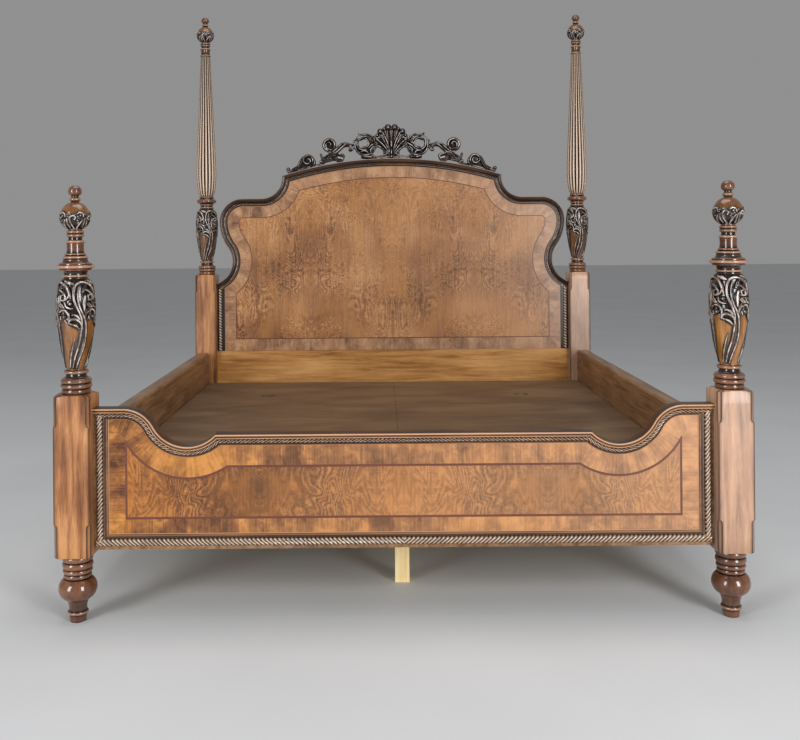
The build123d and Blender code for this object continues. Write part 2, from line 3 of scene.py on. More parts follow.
import bpy
import numpy as np
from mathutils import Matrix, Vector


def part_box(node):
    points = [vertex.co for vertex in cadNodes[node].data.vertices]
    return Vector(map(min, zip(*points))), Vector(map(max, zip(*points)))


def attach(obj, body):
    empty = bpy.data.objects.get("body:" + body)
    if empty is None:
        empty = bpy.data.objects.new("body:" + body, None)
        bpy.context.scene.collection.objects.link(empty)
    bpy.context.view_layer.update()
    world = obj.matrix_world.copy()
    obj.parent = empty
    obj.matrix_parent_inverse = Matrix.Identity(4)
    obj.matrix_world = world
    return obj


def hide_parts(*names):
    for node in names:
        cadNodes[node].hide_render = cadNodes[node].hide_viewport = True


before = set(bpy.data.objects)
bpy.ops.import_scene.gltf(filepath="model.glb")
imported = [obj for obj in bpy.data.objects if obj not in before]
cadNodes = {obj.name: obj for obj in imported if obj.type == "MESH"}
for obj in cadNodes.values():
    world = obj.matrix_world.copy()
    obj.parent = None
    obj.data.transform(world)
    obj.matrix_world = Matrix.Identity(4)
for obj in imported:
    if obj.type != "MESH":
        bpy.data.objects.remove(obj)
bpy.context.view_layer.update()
print("frame loaded,", len(cadNodes), "nodes")

mm = 0.001
finish = {
    "detail": 1.0,  # share of the full mesh density
    "leastDetail": 0.5,  # the share that lathe work and the crest keep at least
    "sharpAngle": 50,  # degrees, edges sharper than this stay crisp
    "reedAngle": 60,
    "ropeAngle": 70,
}


# Shader and geometry expressions

class Wire:
    # one socket of a node tree: arithmetic on it adds Math nodes
    def __init__(self, tree, socket=None):
        self.tree = tree
        self.socket = socket

    def node(self, kind, values=None, **settings):
        # a new node: values go to its sockets, settings to its own properties
        made = self.tree.nodes.new(kind)
        for name, value in settings.items():
            setattr(made, name, value)
        for name, value in (values or {}).items():
            if isinstance(value, Wire):
                self.tree.links.new(value.socket, made.inputs[name])
            else:
                made.inputs[name].default_value = value
        return Wire(self.tree, made.outputs[0] if len(made.outputs) else None)

    def __getitem__(self, name):
        return Wire(self.tree, self.socket.node.outputs[name])

    def math(self, operation, *values):
        return self.node("ShaderNodeMath", dict(enumerate(values)), operation=operation)

    def __add__(self, other):
        return self.math("ADD", self, other)

    def __sub__(self, other):
        return self.math("SUBTRACT", self, other)

    def __rsub__(self, other):
        return self.math("SUBTRACT", other, self)

    def __mul__(self, other):
        return self.math("MULTIPLY", self, other)

    def __truediv__(self, other):
        return self.math("DIVIDE", self, other)

    def __pow__(self, other):
        return self.math("POWER", self, other)

    __radd__ = __add__
    __rmul__ = __mul__

    def clamped(self):
        return self.node("ShaderNodeClamp", {"Value": self})

    def past(self, level, gain):
        # from 0 at a level to 1, at so much a unit
        return ((self - level) * gain).clamped()

    def sine(self):
        return self.math("SINE", self)

    def root(self):
        return self.math("SQRT", self.clamped())

    def bow(self):
        # a half round over each whole number
        lobe = self.math("FRACT", self) * 2 - 1
        return (1 - lobe * lobe).root()

    def mixed(self, low, high):
        # low where this wire is 0, high where it is 1
        return self.node("ShaderNodeMix", {0: self, 6: low, 7: high}, data_type="RGBA")[2]

    def noise(self, scale, detail=3.0, distortion=0.0, stretch=None):
        # noise at this place, which is first stretched along its axes
        place = self.node("ShaderNodeMapping", {"Vector": self, "Scale": stretch}) if stretch else self
        return self.node("ShaderNodeTexNoise", {
            "Vector": place, "Scale": scale, "Detail": detail, "Distortion": distortion})

    def ramp(self, edge, stain):
        # the dark, middle and light tones of a stain, the outer two so far from 0 and 1
        made = self.node("ShaderNodeValToRGB", {"Fac": self})
        elements = made.socket.node.color_ramp.elements
        elements.new(0.5)
        for element, position, colour in zip(elements, (edge, 0.5, 1 - edge), stain):
            element.position = position
            element.color = tone(colour)
        return made

    def attribute(self, name):
        return self.node("ShaderNodeAttribute", attribute_name=name)["Fac"]


def tone(colour):
    # a stain as it is written on a colour card, 0 to 255
    shares = [value / 255 for value in colour]
    return (*(s / 12.92 if s <= 0.04045 else ((s + 0.055) / 1.055) ** 2.4 for s in shares), 1.0)


def blend(*bands):
    # noises about one half, each by its share
    return sum(((band - 0.5) * share for band, share in bands), 0.5)


def newMaterial(name):
    # a material, and the wire of the place on its object in metres
    material = bpy.data.materials.new(name)
    material.use_nodes = True
    material.node_tree.nodes.clear()
    return material, Wire(material.node_tree).node("ShaderNodeTexCoord")["Object"]


def closeMaterial(start, colour, roughness, bump=None, values=None):
    # bump is a height, its strength and its distance in metres
    values = {"Base Color": colour, "Roughness": roughness, **(values or {})}
    if bump:
        values["Normal"] = start.node("ShaderNodeBump", dict(zip(("Height", "Strength", "Distance"), bump)))
    start.node("ShaderNodeOutputMaterial", {"Surface": start.node("ShaderNodeBsdfPrincipled", values)})


stainLook = {
    "grainStretch": 14,  # grain lines are this much longer than wide
    "cloudStretch": 2.5,
    # each noise: features in a metre, detail and distortion; and how much it shows
    "streaks": (60, 6, 0.6), "streakShare": 0.95,
    "fine": (420, 4, 0), "fineShare": 0.4,
    "clouds": (7, 3, 0.4), "cloudShare": 1.3,
    "rubs": (48, 2), "rubGain": 6, "rubbed": 0.6,  # painted glints: the painted highlight comes and goes along the crowns
    "edge": 0.12, "glossSpread": 0.16, "grainBump": 0.05, "bumpDepth": 0.002,
    "valleyGain": 2.8, "ridgeGain": 2.2, "valleyGloss": 0.25, "ridgeGloss": 0.06,
    "palerGain": 0.24,  # per metre to the right
    "palerMiddle": 0.22,
    "palerFigure": 0.7,
}


def paintedSheen(place, colour, pale, tint):
    # painted sheen: the stock is painted paler from the left-hand side to the right, where the light falls,
    # its dark figure less than its light wood
    look = stainLook
    side = place.node("ShaderNodeSeparateXYZ", {"Vector": place})["X"]
    share = side * look["palerGain"] + look["palerMiddle"]
    figured = tint * look["palerFigure"] + (1 - look["palerFigure"] / 2)
    return (share * figured).clamped().mixed(colour, tone(pale))


def stainedWood(name, stain, along=2, roughness=0.3, coat=0.35, lacquer=0.2, coatIndex=1.5, level=0.3,
                glazeAndShade=None, paintedHighlight=None, carved=None, glint=0.0, grain=1.0, figure=1.0, pale=None):
    # solid wood under a satin finish: along is the axis that the grain follows; glaze and painted shade lie
    # in its hollows, and a painted highlight lies on its crowns
    look = stainLook
    material, place = newMaterial(name)
    longGrain, longCloud = [1.0] * 3, [1.0] * 3
    longGrain[along] = 1 / look["grainStretch"]
    longCloud[along] = 1 / look["cloudStretch"]
    streaks = place.noise(*look["streaks"], longGrain)
    fine = place.noise(*look["fine"], longGrain)
    clouds = place.noise(*look["clouds"], longCloud)
    tint = blend((clouds, look["cloudShare"] * figure), (streaks, look["streakShare"] * grain),
                 (fine, look["fineShare"] * grain))
    colour = tint.ramp(look["edge"], stain)
    # a painted sheen towards the right
    if pale:
        colour = paintedSheen(place, colour, pale, tint)
    gloss = roughness + (streaks - 0.5) * look["glossSpread"]
    if glazeAndShade:
        # the shade and highlight field: glaze and painted shade below one half, painted highlight above it
        shadeAndHighlight = place.attribute("shadeAndHighlight")
        valley = ((0.5 - shadeAndHighlight) * look["valleyGain"]).clamped()
        ridge = shadeAndHighlight.past(0.5, look["ridgeGain"])
        # painted glints: the painted highlight is broken up along the crowns
        if glint:
            rubbed = ((place.noise(*look["rubs"]) - 0.5) * look["rubGain"] + look["rubbed"]).clamped()
            ridge = ridge * (rubbed * glint + (1 - glint))
        if carved:
            colour = place.attribute("cut").mixed(colour, tone(carved))
        colour = ridge.mixed(valley.mixed(colour, tone(glazeAndShade)), tone(paintedHighlight))
        gloss = gloss + valley * look["valleyGloss"] - ridge * look["ridgeGloss"]
    closeMaterial(place, colour, gloss, (streaks * 0.6 + fine * 0.4, look["grainBump"], look["bumpDepth"]), {
        "Specular IOR Level": level, "Coat Weight": coat, "Coat Roughness": lacquer, "Coat IOR": coatIndex})
    return material


veneerLook = {
    "leafWidth": 0.44,  # metres, the width of one leaf of veneer before it is mirrored
    "linesPerSwirl": 38, "lineShare": 0.15,
    # each noise: features in a metre, detail, distortion and how its place is stretched
    "shade": (2.8, 4, 0.4), "patches": (5.5, 3, 0.6, (1, 1, 0.6)), "swirls": (4.2, 3, 0.9, (1, 1, 0.55)),
    "eyes": (80, 3, 1.5), "streaks": (130, 5, 0.3, (1, 1, 0.05)), "pores": (480, 2, 0, (1, 1, 0.12)),
    "warmth": (6, 3, 0.5, (1, 1, 0.5)), "warmLevel": 0.46, "warmGain": 5, "warmShare": 0.5,
    "shares": (1.4, 0.55, 0.3),  # how much shade, streaks and pores show
    "burlGain": 6, "edge": 0.15, "roughness": 0.32, "glossSpread": 0.12, "bump": (0.03, 0.002),
    "coat": {"Specular IOR Level": 0.2, "Coat Weight": 0.3, "Coat Roughness": 0.2},
}
bandLook = {
    "clouds": (5, 3, 0.5), "pieces": (17, 2, 0.3, (1, 0.3, 1)), "mottle": (38, 3, 0.8),
    "grain": (160, 4, 0.2, (1, 0.05, 1)), "fine": (700, 2, 0, (1, 0.1, 1)),
    "shares": (0.8, 1.3, 0.8, 0.8, 0.4),  # how much each of the five shows
    "goldGain": 5, "goldShare": 0.4, "roughness": 0.33,
}


def leafPlace(place):
    # each second leaf of veneer is turned over like a page of a book
    parts = place.node("ShaderNodeSeparateXYZ", {"Vector": place})
    across = parts["X"].math("PINGPONG", parts["X"], veneerLook["leafWidth"])
    return place.node("ShaderNodeCombineXYZ", {"X": across, "Y": parts["Y"], "Z": parts["Z"]})


def figuredVeneer(name, stain, gold, pale, burl):
    # straight grain with patches of burl, whose fine lines run like those of a map
    look = veneerLook
    material, place = newMaterial(name)
    leaf = leafPlace(place)
    shade = place.noise(*look["shade"])
    patches, swirls, eyes, streaks, pores, warmth = (
        leaf.noise(*look[kind]) for kind in ("patches", "swirls", "eyes", "streaks", "pores", "warmth"))
    lines = (swirls * (look["linesPerSwirl"] * 2 * math.pi)).sine()
    burled = ((patches - 0.5) * look["burlGain"] + burl).clamped()
    burl = burled * (lines * look["lineShare"] + (eyes - 0.5))
    tint = blend(*zip((shade, streaks, pores), look["shares"])) + burl
    colour = tint.ramp(look["edge"], stain)
    colour = (warmth.past(look["warmLevel"], look["warmGain"]) * look["warmShare"]).mixed(colour, tone(gold))
    colour = paintedSheen(place, colour, pale, tint)
    gloss = look["roughness"] + (shade - 0.5) * look["glossSpread"]
    closeMaterial(place, colour, gloss, (eyes * 0.5 + pores * 0.5, *look["bump"]), look["coat"])
    return material


def bandedVeneer(name, stain, gold, pale):
    # crossbanding: u runs along the band in metres, and the grain lies across it
    look = bandLook
    material, place = newMaterial(name)
    band = place.node("ShaderNodeUVMap", uv_map="band")
    clouds, mottle = (place.noise(*look[kind]) for kind in ("clouds", "mottle"))
    pieces, grain, fine = (band.noise(*look[kind]) for kind in ("pieces", "grain", "fine"))
    tint = blend(*zip((clouds, pieces, mottle, grain, fine), look["shares"]))
    colour = tint.ramp(veneerLook["edge"], stain)
    colour = (clouds.past(0.5, look["goldGain"]) * look["goldShare"]).mixed(colour, tone(gold))
    colour = paintedSheen(place, colour, pale, tint)
    gloss = look["roughness"] + (pieces - 0.5) * veneerLook["glossSpread"]
    closeMaterial(place, colour, gloss, (grain, *veneerLook["bump"]), veneerLook["coat"])
    return material


plainLook = {
    # noises, how much the first two show, the tones, and which noise moves the roughness and which the bump
    "deckBoard": {
        "noises": [(4.5, 4, 0.6, (0.5, 1, 1)), (60, 5, 0.8, (0.08, 1, 1)), (34, 6, 1.5)],
        "shares": (1.1, 0.8), "stain": ((84, 60, 41), (110, 83, 57), (134, 106, 76)),
        "glossBy": 0, "roughness": 0.62, "spread": -0.2, "bumpBy": 1, "bump": (0.08, 0.002), "metallic": 0.0,
        "scuffed": (150, 124, 98), "scuffLevel": 0.66, "scuffGain": 6, "scuffShare": 0.25,
    },
    "pine": {
        "noises": [(9, 3), (70, 3, 0.4, (1, 1, 0.05))],
        "shares": (0.6, 1.4), "stain": ((232, 198, 136), (248, 222, 162), (253, 236, 188)),
        "glossBy": 1, "roughness": 0.6, "spread": 0.1, "bumpBy": 1, "bump": (0.06, 0.002), "metallic": 0.0,
    },
    "platedSteel": {
        "noises": [(900, 3, 0, (1, 0.1, 1))], "dark": (168, 166, 160), "light": (206, 204, 198),
        "glossBy": 0, "roughness": 0.34, "spread": 0.12, "bumpBy": 0, "bump": (0.05, 0.001), "metallic": 1.0,
    },
}


def plainStock(name):
    look = plainLook[name]
    material, place = newMaterial(name)
    noises = [place.noise(*kind) for kind in look["noises"]]
    if "stain" in look:
        colour = blend(*zip(noises, look["shares"])).ramp(veneerLook["edge"], look["stain"])
    else:
        colour = noises[0].mixed(tone(look["dark"]), tone(look["light"]))
    if "scuffed" in look:
        rubbed = noises[2].past(look["scuffLevel"], look["scuffGain"]) * look["scuffShare"]
        colour = rubbed.mixed(colour, tone(look["scuffed"]))
    gloss = look["roughness"] + (noises[look["glossBy"]] - 0.5) * look["spread"]
    bump = noises[look["bumpBy"]], *look["bump"]
    closeMaterial(place, colour, gloss, bump, {"Metallic": look["metallic"]})
    return material


shine = {"coat": 1.0, "lacquer": 0.14, "coatIndex": 1.62, "level": 0.1}
vaseLook = {"carved": (74, 48, 32), "paintedHighlight": (214, 200, 188), "glint": 0.8, **shine}
woods = {
    # the dark, middle and light tones of each stain, and how it is finished, with glaze and painted shade in
    # its hollows, a painted highlight on its crowns and a painted sheen towards the right
    "postWalnut": (((88, 50, 28), (150, 96, 56), (200, 142, 92)), {
        "roughness": 0.4, "glazeAndShade": (52, 28, 17), "paintedHighlight": (186, 136, 94), "grain": 1.4,
        "pale": (204, 174, 152)}),
    "turnedWalnut": (((60, 34, 21), (100, 61, 39), (140, 90, 58)), {
        "glazeAndShade": (9, 5, 4), "paintedHighlight": (204, 160, 128), **shine}),
    "vaseWalnut": (((84, 52, 22), (140, 90, 40), (188, 130, 60)), {"glazeAndShade": (10, 6, 4), **vaseLook}),
    "headVaseWalnut": (((58, 36, 20), (94, 62, 36), (130, 90, 54)), {"glazeAndShade": (9, 5, 4), **vaseLook}),
    "shaftWalnut": (((54, 34, 23), (86, 58, 41), (116, 82, 60)), {
        "glazeAndShade": (9, 5, 4), "paintedHighlight": (224, 196, 170), **shine, "lacquer": 0.34}),
    "crestWalnut": (((34, 20, 14), (54, 34, 25), (78, 50, 38)), {
        "roughness": 0.24, "glazeAndShade": (6, 4, 3), "paintedHighlight": (206, 202, 196), "glint": 1.0, **shine, "coat": 0.6}),
    "ropeWalnut": (((76, 50, 32), (112, 80, 54), (150, 112, 80)), {
        "roughness": 0.28, "glazeAndShade": (12, 7, 4), "paintedHighlight": (206, 184, 162), "glint": 0.35, **shine}),
    # the rope stock painted darker as painted shade, for the run under the arch's cap
    "shadedRopeWalnut": (((36, 22, 15), (60, 40, 28), (86, 62, 46)), {
        "roughness": 0.28, "glazeAndShade": (8, 5, 4), "paintedHighlight": (200, 182, 168), "glint": 0.6, **shine}),
    "mouldingWalnut": (((70, 42, 24), (114, 74, 46), (146, 100, 66)), {
        "along": 0, "roughness": 0.4, "glazeAndShade": (24, 12, 6), "paintedHighlight": (212, 164, 124), "coat": 0.5}),
    "headCapWalnut": (((42, 27, 19), (70, 48, 36), (100, 72, 54)), {
        "along": 0, "roughness": 0.35, "glazeAndShade": (12, 7, 5), "paintedHighlight": (150, 128, 114), "coat": 0.5}),
    "railWalnut": (((90, 60, 38), (126, 92, 63), (154, 118, 84)), {
        "along": 1, "roughness": 0.42, "coat": 0.2, "grain": 1.7, "figure": 0.7}),
    "lowerBoardWalnut": (((142, 94, 48), (186, 132, 74), (212, 160, 98)), {
        "along": 0, "roughness": 0.34, "grain": 1.4, "figure": 0.9}),
    "inlayRosewood": (((84, 44, 34), (104, 58, 44), (120, 70, 52)), {
        "along": 0, "roughness": 0.34, "grain": 0.4, "figure": 0.4}),
}
wood = {name: stainedWood(name, stain, **look) for name, (stain, look) in woods.items()}
headVeneer = figuredVeneer("headboardVeneer", ((84, 54, 34), (150, 104, 70), (204, 152, 102)),
                           (186, 128, 70), (178, 136, 104), burl=1.0)
headBand = bandedVeneer("headboardCrossband", ((104, 74, 54), (154, 113, 84), (196, 154, 116)),
                        (180, 132, 82), (186, 150, 124))
footVeneer = figuredVeneer("footboardVeneer", ((66, 36, 18), (118, 71, 37), (178, 115, 58)),
                           (176, 109, 44), (206, 162, 124), burl=1.2)
footBand = bandedVeneer("footboardCrossband", ((82, 47, 24), (136, 85, 44), (200, 136, 68)),
                        (198, 130, 52), (206, 162, 128))
deckPaint, pine, steel = (plainStock(name) for name in plainLook)
print("materials made,", len(bpy.data.materials))


# Mesh helpers

def shell(rings, looped=False):
    # rows of closed rings of points, made a skin that faces outwards; looped joins the last ring to the first
    points = rings.reshape(-1, 3)
    index = np.arange(len(points)).reshape(rings.shape[:2])
    here = index if looped else index[:-1]
    above = np.roll(index, -1, axis=0)[:len(here)]
    corners = [here, np.roll(here, -1, axis=1), np.roll(above, -1, axis=1), above]
    quads = np.stack(corners, axis=-1).reshape(-1, 4)
    caps = [] if looped else [index[0][::-1], index[-1]]
    faces = quads.tolist() + [cap.tolist() for cap in caps]
    volume = 0.0
    for polygons in (quads, *(cap[None] for cap in caps)):
        fan = points[polygons] - points.mean(axis=0)
        volume += np.einsum("nj,nij->", fan[:, 0], np.cross(fan[:, 1:-1], fan[:, 2:]))
    return points, faces if volume > 0 else [face[::-1] for face in faces]


def joined(parts):
    # several skins as one: each part is points, faces and the values kept at its points
    starts = np.cumsum([0] + [len(points) for points, _, _ in parts])
    faces = [[start + i for i in face] for start, part in zip(starts.tolist(), parts) for face in part[1]]
    return np.concatenate([part[0] for part in parts]), faces, np.concatenate([part[2] for part in parts])


def meshOf(name, points, faces, fields):
    # a mesh with fields at its points: of single values, or of vectors
    mesh = bpy.data.meshes.new(name)
    mesh.from_pydata(points.tolist(), [], faces)
    for label, values in fields.items():
        kind, key = ("FLOAT", "value") if np.ndim(values) == 1 else ("FLOAT_VECTOR", "vector")
        data = mesh.attributes.new(label, kind, "POINT").data
        data.foreach_set(key, np.asarray(values, np.float32).ravel())
    return mesh


def newObject(name, data):
    made = bpy.data.objects.new(name, data)
    bpy.context.scene.collection.objects.link(made)
    return made


def smoothed(mesh, angle):
    mesh.shade_smooth()
    mesh.set_sharp_from_angle(angle=math.radians(angle))


def addPiece(name, part, material, replaced=(), smooth=True):
    # a part is points, faces and its painted shade and highlight: a value for each point, or two where its
    # share of carved wood is kept
    points, faces, shadeAndHighlight = part
    columns = () if shadeAndHighlight is None else np.reshape(shadeAndHighlight, (len(points), -1)).T
    mesh = meshOf(name, points, faces, dict(zip(("shadeAndHighlight", "cut"), columns)))
    mesh.materials.append(material)
    if smooth:
        smoothed(mesh, finish["sharpAngle"])
    else:
        mesh.shade_flat()
    return settle(newObject(name, mesh), replaced)


def settle(piece, replaced=()):
    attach(piece, "root")
    if replaced:
        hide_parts(*replaced)
    return piece


def blurred(values, reach, wrap):
    # a box blur twice over along each axis; wrap says which axes join up with themselves
    for axis, wraps in enumerate(wrap):
        size = max(1, int(reach[axis]))
        count = values.shape[axis]
        shifted = [np.arange(count) + shift for shift in range(-size, size + 1)]
        places = [place % count if wraps else np.clip(place, 0, count - 1) for place in shifted]
        for _ in range(2):
            values = sum(np.take(values, place, axis=axis) for place in places) / len(places)
    return values


def spline(points, count):
    # a smooth curve through points, as count points
    points = np.asarray(points, float)
    if len(points) == 1:
        return np.repeat(points, count, axis=0)
    padded = np.vstack([2 * points[0] - points[1], points, 2 * points[-1] - points[-2]])
    place = np.linspace(0, len(points) - 1, count)
    index = np.minimum(place.astype(int), len(points) - 2)
    t = (place - index)[:, None]
    a, b, c, d = (padded[index + k] for k in range(4))
    return 0.5 * (2 * b + (c - a) * t + (2 * a - 5 * b + 4 * c - d) * t**2 + (3 * b - a - 3 * c + d) * t**3)


def arcPoints(centre, radius, start, end, count):
    # angles in degrees, counted from +X towards +Z
    angles = np.radians(np.linspace(start, end, count))
    return np.stack([centre[0] + radius * np.cos(angles), centre[1] + radius * np.sin(angles)], axis=1)


def widthsOf(strokes, count):
    # strokes with a half width at the start, the middle and the end, and no groove where none is given
    for line, widths, *rest in strokes:
        three = widths if isinstance(widths, tuple) else (widths,) * 3
        yield line, three, *rest, *[0.0] * (count - len(rest))


# Lathe work: every step is the radius where it ends, its rise and how far it bulges, in millimetres

turning = {
    "segments": 96,
    "stepLength": 1.6,
    "glazeReach": 4,  # steps over which a groove counts as sheltered, for its glaze and painted shade
    "glazeGain": 0.16, "grooveGain": 2.6, "crownGain": 14,
    "leastWear": 0.06, "mostWear": 0.76,
}


def turnedProfile(radius, base, steps):
    # each step is a straight run, or an arc whose crown stands proud of the run by its bulge
    line = [(radius, base)]
    for endRadius, rise, bulge in steps:
        r, z = line[-1]
        run = np.array([endRadius - r, rise])
        length = math.hypot(*run)
        if length < 0.01:
            continue
        outward = np.array([run[1], -run[0]]) / length
        count = max(1, round((length + 2 * abs(bulge)) / turning["stepLength"]))
        t = np.arange(1, count + 1)[:, None] / count
        points = np.array([r, z]) + run * t
        if bulge:
            half = 2 * math.atan2(2 * bulge, length)
            arcRadius = length / (2 * math.sin(half))
            angle = half * (2 * t - 1)
            along = 0.5 + arcRadius * np.sin(angle) / length
            points = np.array([r, z]) + run * along + outward * arcRadius * (np.cos(angle) - math.cos(half))
        line += points.tolist()
    return np.array(line)


def turnedPart(radius, base, steps, centre):
    profile = turnedProfile(radius, base, steps)
    segments = round(turning["segments"] * max(finish["detail"], finish["leastDetail"]))
    angles = np.linspace(0, 2 * math.pi, segments, endpoint=False)
    ring = np.stack([np.cos(angles), np.sin(angles)], axis=1)
    rings = np.empty((len(profile), segments, 3))
    rings[:, :, :2] = profile[:, None, :1] * ring[None] * mm + np.array(centre)
    rings[:, :, 2] = profile[:, 1:2] * mm
    # grooves darken with glaze and painted shade, and the crowns of beads carry a painted highlight
    proud = (profile[:, 0] - blurred(profile[:, 0], [turning["glazeReach"]], [False])) * turning["glazeGain"]
    shadeAndHighlight = 0.5 + np.where(proud < 0, turning["grooveGain"] * proud, turning["crownGain"] * proud**3)
    return *shell(rings), np.repeat(np.clip(shadeAndHighlight, turning["leastWear"], turning["mostWear"]), segments)


# Where the posts stand and how their lengths divide

post = {
    "size": 110, "blockBottom": 205, "footBlockTop": 695, "headBlockTop": 966,
    "vaseFoot": 73, "vaseHeight": 278, "vaseBelly": 56, "vaseBellyHeight": 180, "vaseToe": 28, "vaseLip": 38,
    "chamfer": 10, "lowerChamfer": 86, "upperChamfer": 81, "stop": 16, "arris": 1.5, "easing": 1.2,
    "pommelDrop": 6, "pommelReach": 0.32, "pommelBend": 1.4, "pommelSeat": 47,
    "vaseSwell": 1.1, "vaseClosing": 0.999, "stopSteps": 6,
    "footToe": 24, "baseToe": 41, "collarToe": 36, "shaftToe": 25,
}
low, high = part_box("foot_post_left")
postX = abs((low.x + high.x) / 2)
postY = abs((low.y + high.y) / 2)
posts = {
    "foot_post_left": (-postX, -postY), "foot_post_right": (postX, -postY),
    "head_post_left": (-postX, postY), "head_post_right": (postX, postY),
}
carvingTurn = {  # degrees: the carving of each post faces the middle of the room before the bed
    "foot_post_left": 17.7, "foot_post_right": -20.5, "head_post_left": 10.3, "head_post_right": -12,
}
footSeat = high.z / mm
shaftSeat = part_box("head_post_left")[1].z / mm
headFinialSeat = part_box("head_shaft_left")[1].z / mm

footSteps = [
    # toe, ankle ring, cove, bulb and four beads under the block
    (26, 23, 0.4), (28.5, 0, 0), (28.5, 10, 3), (26.5, 0, 0), (27, 3, 0), (36, 32, -3), (41, 65, 19.4),
    (38.5, 0, 0), (38.5, 15, 3.4), (40.5, 0, 0), (40.5, 15, 3.8), (42, 0, 0), (42, 21, 4.2), (42, 21, 4.2),
]
baseSteps = [
    (40, 0, 0), (40, 17, 3.4), (43, 0, 0), (43, 15, 4), (42.5, 0, 0), (42.5, 14, 3.6),
    (42.5, 1, 0), (30, 12, -3.4), (30, 2, 0), (32, 0, 0), (32, 12, 5),
]
footCollarSteps = [
    # bead and neck over the vase, flare, pointed rim, ogee, two beads and the column
    (35, 4, 0), (37, 1, 0), (37, 7, 2.6), (34.6, 0, 0), (34.6, 5, -0.4), (47.7, 9, -3), (48.5, 4.5, 0),
    (52, 1, 0), (52, 10, 5), (49.5, 0, 0), (49, 1.5, 0), (46, 5, 1.2), (36.6, 9, -2.8), (35, 4, 0),
    (35, 7, 3), (29.5, 3, 0), (29.5, 6, 2.2), (26.6, 1, 0), (25.2, 15, -0.4), (26, 15, -0.3),
]
headCollarSteps = [
    (33, 3, 0), (35, 0, 0), (35, 10, 3.2), (31, 1, 0), (31, 4, 0), (33, 1, 0), (33, 9, 4.2),
    (36, 1, 0), (40, 2, 0), (40, 24, 11.5), (38, 0, 0), (36, 4, 0), (34, 11, 4),
]


def postBlock(bottom, top, centre):
    # the square length: stopped chamfers on its corners and a turned shoulder at its top
    p = post
    half = p["size"] / 2
    steps = np.arange(1, p["stopSteps"] + 1) / p["stopSteps"]
    stopped = p["arris"] + (p["chamfer"] - p["arris"]) * (1 - steps**2) ** 0.5
    rows = []
    for end, length, up in ((bottom, p["lowerChamfer"], 1), (top, p["upperChamfer"], -1)):
        heights = [0, p["easing"], length * 0.5, length, *(length + p["stop"] * steps)]
        cuts = [p["chamfer"]] * 4 + stopped.tolist()
        rows += [(end + up * height, cut, float(height == 0)) for height, cut in zip(heights, cuts)]
    shares = [0, 0.04, 0.1, 0.22, 0.36, 0.5, 0.64, 0.78, 0.9, 0.96, 1]
    perCorner = 4
    # glaze and painted shade darken its arrises and chamfers
    shadeAndHighlight = [0.12, 0.4, *[0.5] * (len(shares) - 4), 0.4, 0.12] + [0.3, 0.42, 0.3]
    quarterTurn = np.array([[0, 1], [-1, 0]])
    rings = []
    for z, cut, inward in sorted(rows):
        reach = half - inward
        flat = [(reach, (2 * share - 1) * (reach - cut)) for share in shares]
        eased = [cut * k / perCorner for k in range(1, perCorner)]
        corner = [(reach - ease, reach - cut + ease) for ease in eased]
        ring = np.concatenate([(flat + corner) @ np.linalg.matrix_power(quarterTurn, k) for k in range(4)])
        rings.append(np.column_stack([ring, np.full(len(ring), z)]))
    rings = np.array(rings)
    distance = np.hypot(rings[-1, :, 0], rings[-1, :, 1])
    past = np.clip((distance - half) / (half * p["pommelReach"]), 0, 1)
    rings[-2:, :, 2] -= p["pommelDrop"] * past ** p["pommelBend"]
    inner = rings[-1].copy()
    inner[:, :2] *= (p["pommelSeat"] / distance)[:, None]
    inner[:, 2] = top
    rings = np.concatenate([rings, inner[None]])
    rings[:, :, 2] = np.clip(rings[:, :, 2], bottom, top)
    rings = rings * mm + np.array([*centre, 0])
    return *shell(rings), np.tile(shadeAndHighlight, 4 * len(rings))


def vaseRadius(height):
    # swells from its toe to its belly, and closes like a dome to its lip
    belly, widest = post["vaseBellyHeight"], post["vaseBelly"]
    swell = np.sin(np.clip(height / belly, 0, 1) * math.pi / 2) ** post["vaseSwell"]
    rise = np.clip((height - belly) / (post["vaseHeight"] - belly), 0, 1)
    dome = np.sqrt(1 - rise**2 * post["vaseClosing"])
    lower = post["vaseToe"] + (widest - post["vaseToe"]) * swell
    upper = post["vaseLip"] + (widest - post["vaseLip"]) * dome
    return np.where(height < belly, lower, upper)


# Carving: strokes of a gouge, each with its line, half widths along it, height and the depth of a groove
# down its middle, in millimetres. The vase's are drawn as its front shows them, (across, over its foot).

